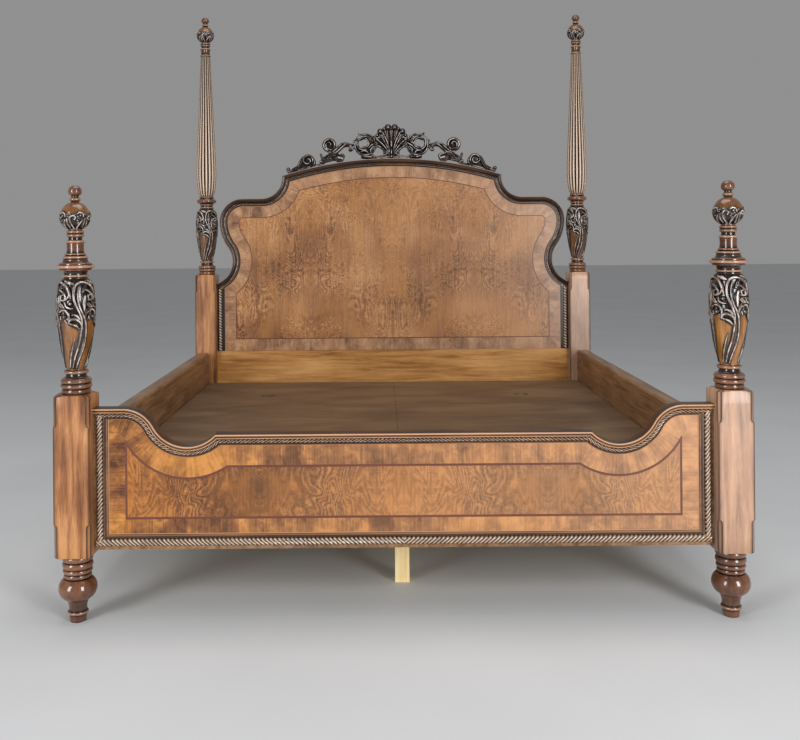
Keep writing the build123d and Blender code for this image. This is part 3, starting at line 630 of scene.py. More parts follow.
carving = {
    "round": 0.62,  # power of a stroke's section
    "grooveWidth": 0.28,
    "rootHeight": 2.5,  # over this height a stroke has no sunk ground under it
    "ground": 0.5, "haloGlaze": 0.3, "side": 0.04, "crown": 0.94, "crownPower": 6,  # shade and highlight: glaze and painted shade below one half, painted highlight above it
}
vaseCarving = {
    "repeats": 4, "radius": 52, "around": 336, "rows": 236,
    "depth": 3.4, "gain": 0.8, "inset": 0.8, "edge": 6,
    # where the sunk ground begins: unrolled place across against the height over the foot
    "groundLine": ([-41, -31, -21, -8, 8, 20, 30, 41], [156, 151, 142, 131, 124, 136, 158, 156]),
    # the sunk ground is darkened with glaze and painted shade
    "groundFade": 9, "groundGlaze": 0.36, "leastCut": 0,
    "halo": 4.6,  # how far the dark glaze and painted shade lie beside a stroke
}
vaseStrokes = [
    # the twin stem: its left strand goes up, over the smooth leaf as a hood, and down into a curl
    ([(-8, 10), (-3, 40), (8, 78), (14, 112), (17, 137), (16, 158), (9, 180), (0, 201), (-5, 218), (-6, 234),
      (-4, 250), (3, 263), (16, 269), (31, 265), (42, 254), (48, 240), (50, 228), (48, 218), (42, 214),
      (36, 218), (35, 227), (41, 231)], (4.2, 6.4, 3.8), 5.6),
    ([(1, 8), (6, 27), (17, 58), (25, 90), (28, 122), (27, 148), (21, 170), (14, 186), (9, 204), (6, 222),
      (7, 240), (10, 256)], (3.6, 5.6, 3), 5),
    ([(-17, 8), (-15, 40), (-9, 74), (-2, 100)], (3, 5.6, 1.6), 2.2),
    # the smooth leaf, the sprig beside the stem and the leaf tips at the top
    ([(25, 182), (25, 206), (27, 226)], (5, 11, 6), 3),
    ([(20, 238), (25, 250), (29, 258)], (5, 8, 5), 4.4, 0.3),
    ([(26, 160), (30, 174), (35, 186), (40, 196)], (3.6, 6.2, 2.4), 5.4, 0.3),
    ([(38, 160), (42, 172), (43, 184)], (3.4, 5.4, 2.4), 4.6, 0.3),
    ([(-20, 271), (-12, 266), (-6, 262)], (5, 7, 4), 5),
    ([(46, 262), (40, 268), (32, 273)], (4, 6, 4), 4.6),
    # the low scroll to the left of the stem: over its top, and the lobe beneath
    ([(17, 132), (12, 147), (2, 156), (-9, 158), (-18, 152), (-19, 145)], (4, 7.6, 4.6), 6.4),
    ([(-16, 143), (-6, 141), (3, 135), (10, 127)], (3.6, 6.6, 3.4), 5.6),
    ([(11, 157), (4, 166), (-4, 171), (-11, 170)], (3.6, 6.6, 3), 5.6),
    # the second scroll curls over its ball
    ([(-19, 156), (-20, 170), (-26, 181), (-36, 185), (-45, 178)], (4.2, 7, 3.6), 6.2),
    ([(-33, 164)], 7.4, 7),
    ([(-41, 156), (-43, 166)], (4, 5, 3), 4.4),
    # the leaf, balls and curls above it
    ([(-30, 266), (-24, 253), (-19, 238), (-14, 220)], (3.6, 7.4, 3.4), 5.8),
    ([(-16, 204)], 7.4, 7),
    ([(-44, 246), (-36, 238), (-29, 226), (-33, 215), (-42, 214)], (4, 6.4, 4), 5.4),
    ([(-42, 228)], 5, 5.4),
    ([(-30, 206), (-27, 196), (-16, 190), (-8, 190)], (3.8, 5.8, 3), 4.6),
    ([(-45, 202), (-40, 194), (-32, 192)], (3.2, 5.6, 3), 4.6),
    ([(46, 206)], 5.4, 5.4),
    ([(35, 206), (40, 200), (46, 192)], (3, 5, 3), 4.6),
]
finial = {
    "repeats": 5, "radius": 45.4, "around": 200, "rows": 96,
    "depth": 1.8, "gain": 0.7, "inset": 1.6, "seat": 21, "tip": 11,
    "groundTop": 5, "groundFade": 6, "groundBottom": -62, "bottomFade": 10,
    # the sunk ground is darkened with glaze and painted shade
    "groundGlaze": 0.38, "leastCut": 0.45, "halo": (3, 3),
    "footToe": 24, "tipToe": 13, "sink": 1,
}
finialFootSteps = [
    (25, 9, 3.8), (21.5, 0, 0), (21, 10, -0.8), (23.5, 0, 0), (23.5, 10, 3.1), (23.5, 10, 3.1), (21.5, 0, 0),
    (21, 4.3, -0.6), (15, 0, 0)]
finialTipSteps = [
    (12, 1.5, 0), (13.5, 11.5, 4), (11.6, 0, 0), (11.6, 6, -0.6), (20.3, 15, 3.4), (1.5, 16, 5)]
ballStrokes = [
    # leaves that rise from below and curl over, up to the ball's middle
    ([(-2, -52), (-9, -36), (-15, -22), (-17, -10), (-12, -2), (-4, 0), (1, -6), (-2, -12)], (3.6, 6, 4.4),
     4.6),
    ([(5, -50), (11, -34), (17, -22), (25, -12)], (3.6, 6.2, 3.4), 4.4),
    ([(16, 0)], 5.8, 5.2),
    ([(6, 5), (14, 10), (24, 6), (26, -3)], (3, 4.8, 3.4), 4),
    ([(-23, -42), (-27, -24), (-25, -8)], (3.4, 5.6, 3.2), 4.2),
    ([(8, -15)], 5, 4.8),
    ([(-24, 4)], 4.4, 4.4),
]


def strokeHeight(across, along, strokes, period, widen):
    # the lift at each point and how near it is to a crown; widen is the true width of one unrolled millimetre
    total, crown = np.zeros_like(across), np.zeros_like(across)
    for line, widths, height, groove in strokes:
        path = spline(line, 2 if len(line) == 1 else 5 * len(line))
        half = np.interp(np.linspace(0, 1, len(path)), [0, 0.5, 1], widths)
        nearest = np.full_like(across, 9.0)
        for (u, v), (du, dv), reach, growth in zip(path, np.diff(path, axis=0), half, np.diff(half)):
            side = ((across - u + period / 2) % period - period / 2) * widen
            up = along - v
            du = du * widen
            t = np.clip((side * du + up * dv) / (du**2 + dv**2 + 1e-9), 0, 1)
            nearest = np.minimum(nearest, np.hypot(side - t * du, up - t * dv) / (reach + growth * t))
        hollow = groove * np.exp(-((nearest / carving["grooveWidth"]) ** 2))
        rounded = np.clip(1 - nearest**2, 0, 1) ** carving["round"] * (1 - hollow)
        crown = np.where(height * rounded > total, rounded, crown)
        total = np.maximum(total, height * rounded)
    return total, crown


def unrolled(strokes):
    # strokes drawn on the vase's front, laid out flat round it
    for line, *rest in strokes:
        path = spline(line, 1 if len(line) == 1 else 3 * len(line) - 2)
        reach = np.clip(path[:, 0] / vaseRadius(path[:, 1]), -0.97, 0.97)
        yield np.stack([np.arcsin(reach) * vaseCarving["radius"], path[:, 1]], axis=1), *rest


def carvedRound(look, strokes, heights, widen, edge, ground, halo):
    # one motif, repeated round the part: its angles, its relief, and its wear and cut wood in two columns
    period = 2 * math.pi * look["radius"] / look["repeats"]
    count = round(look["around"] * finish["detail"] / look["repeats"])
    u = np.linspace(-period / 2, period / 2, count, endpoint=False)
    across, along = np.meshgrid(u, heights)
    lift, crown = strokeHeight(across, along, strokes, period, widen)
    lift = lift * edge
    sunk = ground(across, along)
    relief = lift - look["depth"] * sunk * edge * np.clip(1 - lift / carving["rootHeight"], 0, 1)
    # glaze and painted shade in a halo beside the strokes and on the sunk ground, and a painted highlight on
    # the stroke crowns
    glazeAndShade = carving["haloGlaze"] * np.clip(blurred(lift, halo, [False, True]), 0, 1)
    beside = carving["ground"] - glazeAndShade * (1 - sunk) - look["groundGlaze"] * sunk
    shadeAndHighlight = np.where(lift > 0.05, carving["side"] + carving["crown"] * crown ** carving["crownPower"], beside)
    cut = np.clip(np.maximum(lift, sunk * 2), look["leastCut"], 1)
    turns = 2 * math.pi * np.arange(look["repeats"]) / look["repeats"]
    angles = (turns[:, None] + u / look["radius"] - math.pi / 2).ravel()
    relief, shadeAndHighlight, cut = (np.tile(field, look["repeats"]) for field in (relief, np.clip(shadeAndHighlight, 0, 1), cut))
    return angles, relief * look["gain"] - look["inset"], np.stack([shadeAndHighlight.ravel(), cut.ravel()], axis=1)


def carvedVase():
    look = vaseCarving
    heights = np.linspace(0, post["vaseHeight"], round(look["rows"] * finish["detail"]))
    radius = vaseRadius(heights)[:, None]
    edge = np.clip(np.minimum(heights, post["vaseHeight"] - heights) / look["edge"], 0, 1)[:, None]
    girth = 2 * math.pi * look["radius"]
    density = np.array([len(heights) / post["vaseHeight"], look["around"] * finish["detail"] / girth])

    def ground(across, along):
        sunk = np.clip((along - np.interp(across, *look["groundLine"])) / look["groundFade"], 0, 1)
        return sunk * sunk * (3 - 2 * sunk)

    angles, relief, fields = carvedRound(look, unrolled(widthsOf(vaseStrokes, 2)), heights,
                                         radius / look["radius"], edge, ground, look["halo"] * density)
    reach = radius + relief
    height = np.broadcast_to(heights[:, None], reach.shape)
    rings = np.stack([reach * np.cos(angles), reach * np.sin(angles), height], axis=2) * mm
    return *shell(rings), fields


def carvedBall():
    look = finial
    radius = look["radius"]
    ends = -math.acos(look["seat"] / radius), math.acos(look["tip"] / radius)
    tilt = np.linspace(*ends, round(look["rows"] * finish["detail"]))
    narrow = np.cos(tilt)[:, None]

    def ground(across, along):
        top = np.clip((look["groundTop"] - along) / look["groundFade"], 0, 1)
        return top * np.clip((along - look["groundBottom"]) / look["bottomFade"], 0, 1)

    angles, relief, fields = carvedRound(look, widthsOf(ballStrokes, 2), tilt * radius, narrow, 1.0, ground,
                                         look["halo"])
    reach = radius + relief
    flat, height = reach * narrow, reach * np.sin(tilt)[:, None]
    points, faces = shell(np.stack([flat * np.cos(angles), flat * np.sin(angles), height], axis=2) * mm)
    base = math.sqrt(radius**2 - look["seat"] ** 2)
    return (points + np.array([0, 0, base * mm]), faces, fields), base


def placed(part, x, y, z, turn):
    # a carved part stood at its place and turned, in degrees
    a = math.radians(turn)
    rotation = np.array([[math.cos(a), math.sin(a), 0], [-math.sin(a), math.cos(a), 0], [0, 0, 1]])
    return part[0] @ rotation + np.array([x, y, z]), *part[1:]


def makePosts():
    vase = carvedVase()
    for name, place in posts.items():
        tall = name.startswith("head")
        blockTop = post["headBlockTop" if tall else "footBlockTop"]
        vaseBase = blockTop + post["vaseFoot"]
        block = postBlock(post["blockBottom"], blockTop, place)
        addPiece(name + "_block", block, wood["postWalnut"], [name])
        runs = [
            (post["footToe"], 0, footSteps), (post["baseToe"], blockTop, baseSteps),
            (post["collarToe"], vaseBase + post["vaseHeight"], headCollarSteps if tall else footCollarSteps),
        ]
        turned = joined([turnedPart(*run, place) for run in runs])
        addPiece(name + "_turning", turned, wood["turnedWalnut"], [name])
        addPiece(name + "_vase", placed(vase, *place, vaseBase * mm, carvingTurn[name]),
                 wood["headVaseWalnut" if tall else "vaseWalnut"], [name])


def makeFinials():
    ball, ballBase = carvedBall()
    footHeight = sum(step[1] for step in finialFootSteps)
    ballTop = ballBase + math.sqrt(finial["radius"] ** 2 - finial["tip"] ** 2) - finial["sink"]
    for end, seat in (("foot", footSeat), ("head", headFinialSeat)):
        node = end + "_finials"
        turned, balls = [], []
        for side in ("_post_left", "_post_right"):
            x, y = posts[end + side]
            turned.append(turnedPart(finial["footToe"], seat, finialFootSteps, (x, y)))
            turned.append(turnedPart(finial["tipToe"], seat + footHeight + ballTop, finialTipSteps, (x, y)))
            balls.append(placed(ball, x, y, (seat + footHeight) * mm, carvingTurn[end + side]))
        addPiece(node + "_rings", joined(turned), wood["turnedWalnut"], [node])
        addPiece(node + "_balls", joined(balls), wood["vaseWalnut"], [node])


makePosts()
makeFinials()
print("posts and finials turned and carved")


# Geometry Nodes

def newTree(name, defaults):
    # a geometry tree with named inputs: floats, or materials where there is no default
    tree = bpy.data.node_groups.new(name, "GeometryNodeTree")
    tree.interface.new_socket("Geometry", in_out="INPUT", socket_type="NodeSocketGeometry")
    for label, value in defaults.items():
        kind = "NodeSocketMaterial" if value is None else "NodeSocketFloat"
        socket = tree.interface.new_socket(label, in_out="INPUT", socket_type=kind)
        if value is not None:
            socket.default_value = value
    tree.interface.new_socket("Geometry", in_out="OUTPUT", socket_type="NodeSocketGeometry")
    return tree, Wire(tree).node("NodeGroupInput")


def closeTree(start, geometry, shadeAndHighlight, material):
    # the painted shade and highlight at each point, kept for the material
    kept = start.node("GeometryNodeStoreNamedAttribute", {
        "Geometry": geometry, "Name": "shadeAndHighlight", "Value": shadeAndHighlight}, data_type="FLOAT", domain="POINT")
    whole = start.node("GeometryNodeRealizeInstances", {"Geometry": kept})
    painted = start.node("GeometryNodeSetMaterial", {"Geometry": whole, "Material": material})
    start.node("NodeGroupOutput", {"Geometry": painted})


def grown(name, rings, fields, tree, values, angle):
    # a skin with fields at its points, run through a tree and kept as a plain mesh
    source = newObject(name + "Guide", meshOf(name, *shell(rings), fields))
    modifier = source.modifiers.new("grow", "NODES")
    modifier.node_group = tree
    for item in tree.interface.items_tree:
        if item.item_type == "SOCKET" and item.in_out == "INPUT" and item.name in values:
            modifier[item.identifier] = values[item.name]
    graph = bpy.context.evaluated_depsgraph_get()
    mesh = bpy.data.meshes.new_from_object(source.evaluated_get(graph))
    bpy.data.objects.remove(source)
    mesh.name = name
    smoothed(mesh, angle)
    return newObject(name, mesh)


def fieldOf(start, name, kind="FLOAT"):
    return start.node("GeometryNodeInputNamedAttribute", {"Name": name}, data_type=kind)["Attribute"]


# Reeded shafts of the head posts

shaft = {
    "reeds": 18,
    "around": 12,  # points round each reed
    "rows": 90,
    "depth": 0.2,  # of the reeds, as a share of the radius
    "foot": 0.022,  # metres over which they rise
    "wearPower": 3.2, "wearFoot": 1.06, "wearFade": 0.35,  # painted highlight on the reed crowns, which fades towards the top
    # radius in millimetres against height over the collar, up to the ring under the column
    "outline": [
        (0, 33), (4, 36), (12, 41), (28, 46.5), (50, 50.5), (85, 54), (112, 55), (160, 54.4), (752, 25.5)],
}
shaftTopSteps = [(25, 2, 0), (25, 8, 3.6), (24, 1, 0), (24, 26, -0.5), (26, 5, 0)]


def reedTree():
    tree, inputs = newTree("reeds", {
        "Reeds": float(shaft["reeds"]), "Depth": shaft["depth"], "Foot": shaft["foot"]})
    turn, reach, climb = (fieldOf(inputs, name) for name in ("turn", "reach", "climb"))
    centre = fieldOf(inputs, "axis", "FLOAT_VECTOR")
    crown = (turn * inputs["Reeds"]).bow()
    depth = inputs["Depth"] * (climb / inputs["Foot"]).clamped() ** 0.5
    radius = reach * (1 - depth + depth * crown)

    def vector(operation, values):
        return inputs.node("ShaderNodeVectorMath", values, operation=operation)

    spoke = vector("SUBTRACT", {0: inputs.node("GeometryNodeInputPosition"), 1: centre})
    spoke = vector("NORMALIZE", {0: spoke})
    target = vector("ADD", {0: centre, 1: vector("SCALE", {0: spoke, "Scale": radius})})
    shaped = inputs.node("GeometryNodeSetPosition", {"Geometry": inputs["Geometry"], "Position": target})
    # painted highlight on the reeds' crowns, fading with height
    shadeAndHighlight = (crown ** shaft["wearPower"] * (shaft["wearFoot"] - climb * shaft["wearFade"])).clamped()
    closeTree(inputs, shaped, shadeAndHighlight, wood["shaftWalnut"])
    return tree


def makeShafts():
    reeds = reedTree()
    heights, radii = zip(*shaft["outline"])
    even = np.linspace(0, heights[-1], round(shaft["rows"] * finish["detail"]))
    rows = np.unique(np.concatenate([even, heights]))
    reach = np.interp(rows, heights, radii)
    around = shaft["reeds"] * shaft["around"]
    angles = np.linspace(0, 2 * math.pi, around, endpoint=False) - math.pi / 2
    for side, x in (("left", -postX), ("right", postX)):
        node = "head_shaft_" + side
        height = np.repeat((shaftSeat + rows) * mm, around).reshape(-1, around)
        across, along = np.outer(reach, np.cos(angles)) * mm, np.outer(reach, np.sin(angles)) * mm
        rings = np.stack([x + across, postY + along, height], axis=2)
        fields = {
            "turn": np.tile(np.arange(around) / around, len(rows)), "reach": np.repeat(reach * mm, around),
            "climb": np.repeat(rows * mm, around),
            "axis": np.stack([np.full(height.size, x), np.full(height.size, postY), height.ravel()], axis=1),
        }
        settle(grown(node + "_reeds", rings, fields, reeds, {}, finish["reedAngle"]), [node])
        column = turnedPart(post["shaftToe"], shaftSeat + heights[-1], shaftTopSteps, (x, postY))
        addPiece(node + "_column", column, wood["turnedWalnut"], [node])


makeShafts()
print("reeded shafts grown")


# Outlines of the boards: half outlines from the middle outwards, for any inset from the outer edge

boards = {
    "reach": 945,
    "headFront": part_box("headboard_panel")[0].y / mm,
    "footFront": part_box("footboard_panel")[0].y / mm,
    "pointSpacing": 4.0,
    "overrun": 60,  # the footboard's edge is drawn this far past its reach, to be cut there
}
headOutline = {
    "archTop": 1584, "archSpring": 1494, "archHalf": 590, "shoulder": 1373, "cove": 111,
    "earReach": 927, "ear": 125, "flank": 235, "waistReach": 859, "waist": 124,
}
footOutline = {
    "middle": 570, "end": 651, "dipReach": 657, "dipHeight": 534, "dip": 116, "hump": 105,
}
# lengths in millimetres by which the runs get their counts of points
runLengths = {"drop": 12, "waistTurn": 1.9, "middle": 574, "dip": 190, "hump": 115, "end": 150}


def spread(length):
    return max(2, round(length / boards["pointSpacing"] * finish["detail"]) + 1)


def headHalf(inset):
    # arch, drop, cove, shoulder, ear, flank and waist, each with the same count at every inset
    o = headOutline
    drop = o["archTop"] - o["archSpring"]
    archRadius = (o["archHalf"] ** 2 + drop**2) / (2 * drop)
    radius = archRadius - inset
    a = np.linspace(0, math.asin((o["archHalf"] - inset) / radius), spread(o["archHalf"]))
    arch = np.stack([radius * np.sin(a), o["archTop"] - archRadius + radius * np.cos(a)], axis=1)
    coveX, coveZ = o["archHalf"] + o["cove"], o["shoulder"] + o["cove"]
    # where the arch comes down past the cove's middle, the cove starts lower and there is no drop
    sunk = math.asin(np.clip((coveZ - arch[-1, 1]) / (o["cove"] + inset), 0, 1))
    cove = arcPoints((coveX, coveZ), o["cove"] + inset, 180 + math.degrees(sunk), 270,
                     spread(o["cove"] * math.pi / 2))
    if sunk:
        arch[-1] = cove[0]
    fall = np.linspace(arch[-1], cove[0], spread(runLengths["drop"]))
    earX, earZ = o["earReach"] - o["ear"], o["shoulder"] - o["ear"]
    level = o["shoulder"] - inset
    shoulder = np.linspace((coveX, level), (earX, level), spread(earX - coveX))
    ear = arcPoints((earX, earZ), o["ear"] - inset, 90, 0, spread(o["ear"] * math.pi / 2))
    flankX = o["earReach"] - o["flank"]
    waistX = o["waistReach"] + o["waist"]
    waistZ = earZ - math.sqrt((o["flank"] + o["waist"]) ** 2 - (waistX - flankX) ** 2)
    turn = math.degrees(math.atan2(waistZ - earZ, waistX - flankX))
    flank = arcPoints((flankX, earZ), o["flank"] - inset, 0, turn, spread(o["flank"] * math.radians(-turn)))
    waist = arcPoints((waistX, waistZ), o["waist"] + inset, 180 + turn, 270,
                      spread(o["waist"] * runLengths["waistTurn"]))
    return [arch, fall, cove, shoulder, ear, flank, waist]


def footHalf(inset):
    # level middle, dip, hump and the raised end
    o = footOutline
    dip = o["dipReach"], o["dipHeight"] + o["dip"]
    humpZ = o["end"] - o["hump"]
    hump = dip[0] + math.sqrt((o["dip"] + o["hump"]) ** 2 - (dip[1] - humpZ) ** 2), humpZ
    radius = o["dip"] + inset
    level, top = o["middle"] - inset, o["end"] - inset
    cornerX = dip[0] - math.sqrt(radius**2 - (dip[1] - level) ** 2)
    start = math.degrees(math.atan2(level - dip[1], cornerX - dip[0])) % 360
    turn = math.degrees(math.atan2(hump[1] - dip[1], hump[0] - dip[0])) % 360
    return [
        np.linspace((0, level), (cornerX, level), spread(runLengths["middle"])),
        arcPoints(dip, radius, start, turn, spread(runLengths["dip"])),
        arcPoints(hump, o["hump"] - inset, turn - 180, 90, spread(runLengths["hump"])),
        np.linspace((hump[0], top), (boards["reach"] + boards["overrun"], top), spread(runLengths["end"])),
    ]


def topEdge(kind, inset, limit):
    # a board's edge from side to side: what lies past the limit in its last runs gathers at the crossing
    half, runs = (headHalf(inset), 1) if kind == "head" else (footHalf(inset), 3)
    line = np.concatenate(half)
    start = len(line) - sum(len(run) for run in half[-runs:]) + 1
    first = start + np.nonzero(line[start:, 0] > limit)[0][0]
    a, b = line[first - 1], line[first]
    line[first:] = a + (b - a) * (limit - a[0]) / (b[0] - a[0])
    return np.concatenate([(line * [-1, 1])[::-1], line[1:]])


def swept(lines, depths, front):
    # one ring of points across the moulding for each point along it: lines are outlines at each inset
    stack = np.stack(lines, axis=1)
    depth = np.broadcast_to(front + np.asarray(depths), stack.shape[:2])
    return np.stack([stack[:, :, 0], depth, stack[:, :, 1]], axis=2) * mm


def sweptPiece(name, lines, depths, front, material, slot, replaced=(), shadeAndHighlight=None, closed=False):
    # a moulding along its lines, or a closed frame: one line and one depth for each corner of its section
    rings = swept(lines, depths, front)
    values = None if shadeAndHighlight is None else np.tile(shadeAndHighlight, len(rings))
    return addPiece(name, (*shell(rings, closed), values), material, replaced)


headCap = {
    # inset from the edge, and depth before the panel's face, in millimetres, round the section
    "section": [(0, 34), (0, -13), (0.6, -16), (2.4, -17.8), (4.5, -18), (5.4, -15.6), (7, -15.2),
                (11, -14.4), (14.5, -12.8), (17.5, -10.2), (19.4, -7.4), (21, -7), (21, 2), (21, 34)],
    # glaze and painted shade, low, and painted highlight, high, at each corner of the section
    "shadeAndHighlight": [0.3, 0.4, 0.8, 0.95, 0.6, 0.1, 0.25, 0.45, 0.5, 0.45, 0.25, 0.1, 0.1, 0.5],
    "wood": wood["headCapWalnut"],
}
footCap = {
    "section": [(3.5, 38), (0.8, 36), (0, 33), (0, -8), (0.8, -11), (2.6, -13.4), (4.6, -13.2), (6.4, -11),
                (8, -9.6), (10.4, -9.6), (11.4, -11.2), (13, -12), (14.4, -11), (15, -9), (15, 2), (15, 36),
                (9, 38)],
    # glaze and painted shade, low, and painted highlight, high, at each corner of the section
    "shadeAndHighlight": [0.4, 0.3, 0.24, 0.2, 0.5, 0.95, 0.9, 0.45, 0.3, 0.35, 0.7, 0.9, 0.6, 0.1, 0.0, 0.1, 0.4],
    "wood": wood["mouldingWalnut"],
}


def makeCaps():
    for kind, cap in (("head", headCap), ("foot", footCap)):
        insets, depths = zip(*cap["section"])
        lines = [topEdge(kind, inset, boards["reach"]) for inset in insets]
        sweptPiece(kind + "board_cap_moulding", lines, depths, boards[kind + "Front"], cap["wood"],
                   "moulding_walnut", [kind + "board_cap"], cap["shadeAndHighlight"])


makeCaps()
print("cap mouldings swept")


# Rope mouldings: a half round carved into slanting strands, which turn the other way past the middle

rope = {
    "acrossPoints": 11, "spacing": 1.5, "cut": 0.6,
    "bend": 1.35,  # radians that a strand turns between the middle and an edge
    # painted highlight on the strands: its power and its share in the middle and at the edges; the lit shares
    # keep less of it on level runs, as painted shade
    "wearPower": 3, "wearMiddle": 0.6, "wearEdge": 0.42,
    "headInsets": (21, 32), "headReach": 943, "headPolish": 0.3,
    "headSideReach": (919, 936), "headSideGround": (903.5, 942.5), "sideGround": 4, "groundWear": 0.05,
    "footInsets": (15, 29), "footReach": 935, "footPolish": 0.72,
    "footBottom": 230, "footBottomWidth": 24, "footSideWidth": 20,
    "sideStart": 0.6, "sideEnd": 0.45,  # shares of the runs below and above that the side runs lie over
}
ropeLooks = {
    "head": {"Height": 7 * mm, "Pitch": 13.5 * mm, "Lean": 0.7, "Wood": wood["shadedRopeWalnut"]},
    "headSide": {"Height": 9 * mm, "Pitch": 15 * mm, "Lean": 0.3, "Wood": wood["ropeWalnut"]},
    "foot": {"Height": 10.5 * mm, "Pitch": 13 * mm, "Lean": 0.85, "Wood": wood["ropeWalnut"]},
}


def ropeTree():
    tree, inputs = newTree("ropeCarving", {
        "Pitch": 0.012, "Height": 0.01, "Cut": rope["cut"], "Lean": 0.8, "Wood": None})
    along, across, face, hand, polish = (
        fieldOf(inputs, name) for name in ("along", "across", "face", "hand", "polish"))
    phase = along / inputs["Pitch"] + (across * rope["bend"]).sine() * inputs["Lean"] * hand
    strand = (phase + 1000).bow()  # a whole number of strands keeps the phase above 0
    roundness = (1 - across * across).root()
    height = inputs["Height"] * roundness * (1 - inputs["Cut"] + inputs["Cut"] * strand) * face
    offset = inputs.node("ShaderNodeCombineXYZ", {"Y": height * -1})
    shaped = inputs.node("GeometryNodeSetPosition", {"Geometry": inputs["Geometry"], "Offset": offset})
    # painted highlight on the strands' crowns, strongest in the rope's middle and on its upright runs
    paintedHighlight = roundness * rope["wearMiddle"] + rope["wearEdge"]
    closeTree(inputs, shaped, (strand ** rope["wearPower"] * paintedHighlight * polish).clamped(), inputs["Wood"])
    return tree


ropeCarving = ropeTree()


def evenly(lines, spacing):
    # the same outline at several insets, with its points spaced along the middle one
    length = np.concatenate([[0], np.cumsum(np.hypot(*np.diff(lines[len(lines) // 2], axis=0).T))])
    place = np.linspace(0, length[-1], max(2, round(length[-1] / spacing * finish["detail"])))
    return [np.stack([np.interp(place, length, line[:, k]) for k in (0, 1)], axis=1) for line in lines], place


def ropeRun(name, lines, look, replaced, hands, front, level=1.0):
    # lines run from one side of the moulding to the other; hands is +1 or -1 for each side of the middle;
    # level is the share of painted highlight on the crowns where the run lies level, against the whole where
    # it stands upright
    even, place = evenly(lines, rope["spacing"])
    count = len(lines)
    rings = swept(even + [even[-1], even[0]], [0.0] * count + [1.0, 1.0], front)
    middle = even[count // 2]
    steepness = np.abs(np.gradient(middle[:, 1])) / np.maximum(np.hypot(*np.gradient(middle, axis=0).T), 1e-6)
    sections = {"across": [*np.linspace(-1, 1, count), 1, -1], "face": [1.0] * count + [0.0, 0.0]}
    runs = {
        "along": (place - place[-1] / 2) * mm, "hand": np.where(place < place[-1] / 2, *hands),
        "polish": level + (1 - level) * steepness,
    }
    fields = {label: np.tile(values, len(rings)) for label, values in sections.items()}
    fields.update({label: np.repeat(values, count + 2) for label, values in runs.items()})
    piece = grown(name, rings, fields, ropeCarving, {"Cut": rope["cut"], **look}, finish["ropeAngle"])
    return settle(piece, replaced)


def upright(sign, bottom, top, reaches):
    return [np.array([(sign * x, bottom), (sign * x, top)]) for x in reaches]


def makeRopes():
    n = rope["acrossPoints"]
    front = boards["headFront"]
    lines = [topEdge("head", inset, rope["headReach"]) for inset in np.linspace(*rope["headInsets"], n)]
    ropeRun("headboard_rope_carving", lines, ropeLooks["head"], ["headboard_rope"], (1, -1), front,
            rope["headPolish"])
    for side, sign in (("left", -1), ("right", 1)):
        node = "headboard_side_rope_" + side
        bottom, top = (corner.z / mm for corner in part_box(node))
        lines = upright(sign, bottom, top, np.linspace(*rope["headSideReach"], n))
        ropeRun(node + "_carving", lines, ropeLooks["headSide"], [node], (sign, sign),
                front - rope["sideGround"])
        near, far = upright(sign, bottom, top, rope["headSideGround"])
        # a flat ground beside each side rope, dark with glaze and painted shade
        sweptPiece(node + "_ground", [near, far, far, near], [-rope["sideGround"]] * 2 + [1, 1], front,
                   wood["headCapWalnut"], "rope_moulding", [node], [rope["groundWear"]] * 4)
    reach, bottom, (start, end) = rope["footReach"], rope["footBottom"], rope["footInsets"]
    look = ropeLooks["foot"], ["footboard_rope"]
    front = boards["footFront"]
    lines = [topEdge("foot", inset, reach) for inset in np.linspace(start, end, n)]
    ropeRun("footboard_rope_top", lines, *look, (1, -1), front, rope["footPolish"])
    top = bottom + rope["footBottomWidth"]
    lines = [np.array([(-reach, z), (reach, z)]) for z in np.linspace(top, bottom, n)]
    ropeRun("footboard_rope_bottom", lines, *look, (-1, 1), front)
    low = bottom + rope["footBottomWidth"] * rope["sideStart"]
    high = footOutline["end"] - start - (end - start) * rope["sideEnd"]
    for sign, side in ((-1, "left"), (1, "right")):
        lines = upright(sign, low, high, np.linspace(reach, reach - rope["footSideWidth"], n))
        ropeRun("footboard_rope_" + side, lines, *look, (sign, sign), front)


makeRopes()
print("rope mouldings carved")


# Veneered faces

def outlinesOf(kind, rows):
    # closed outlines of a board, each at its own (inset from the top edge, reach of the sides, bottom)
    outlines, counts = [], None
    for inset, reach, bottom in rows:
        line = topEdge(kind, inset, reach)
        left, right = line[0], line[-1]
        counts = counts or (spread(abs(right[1] - bottom)), spread(2 * right[0]))
        down = np.linspace(right, (right[0], bottom), counts[0])[1:]
        under = np.linspace((right[0], bottom), (left[0], bottom), counts[1])[1:]
        up = np.linspace((left[0], bottom), left, counts[0])[1:-1]
        outlines.append(np.concatenate([line, down, under, up]))
    return outlines


def cornersOf(outline):
    # where a closed outline turns into its right side, its bottom and its left side
    right = np.nonzero(outline[:, 0] >= outline[:, 0].max() - 1e-6)[0]
    left = np.nonzero(outline[:, 0] <= outline[:, 0].min() + 1e-6)[0]
    return [right[0], right[-1], left[left > right[-1]][0]]


def footOn(line, points):
    # how far along a line the foot of each point lies
    a, b = line[:-1], line[1:]
    step = b - a
    long = np.hypot(*step.T)
    t = np.clip(((points[:, None] - a) * step).sum(axis=2) / np.maximum(long**2, 1e-9), 0, 1)
    gap = np.linalg.norm(points[:, None] - a - t[..., None] * step, axis=2)
    nearest = gap.argmin(axis=1)
    row = np.arange(len(points))
    return np.concatenate([[0], np.cumsum(long)])[nearest] + t[row, nearest] * long[nearest]


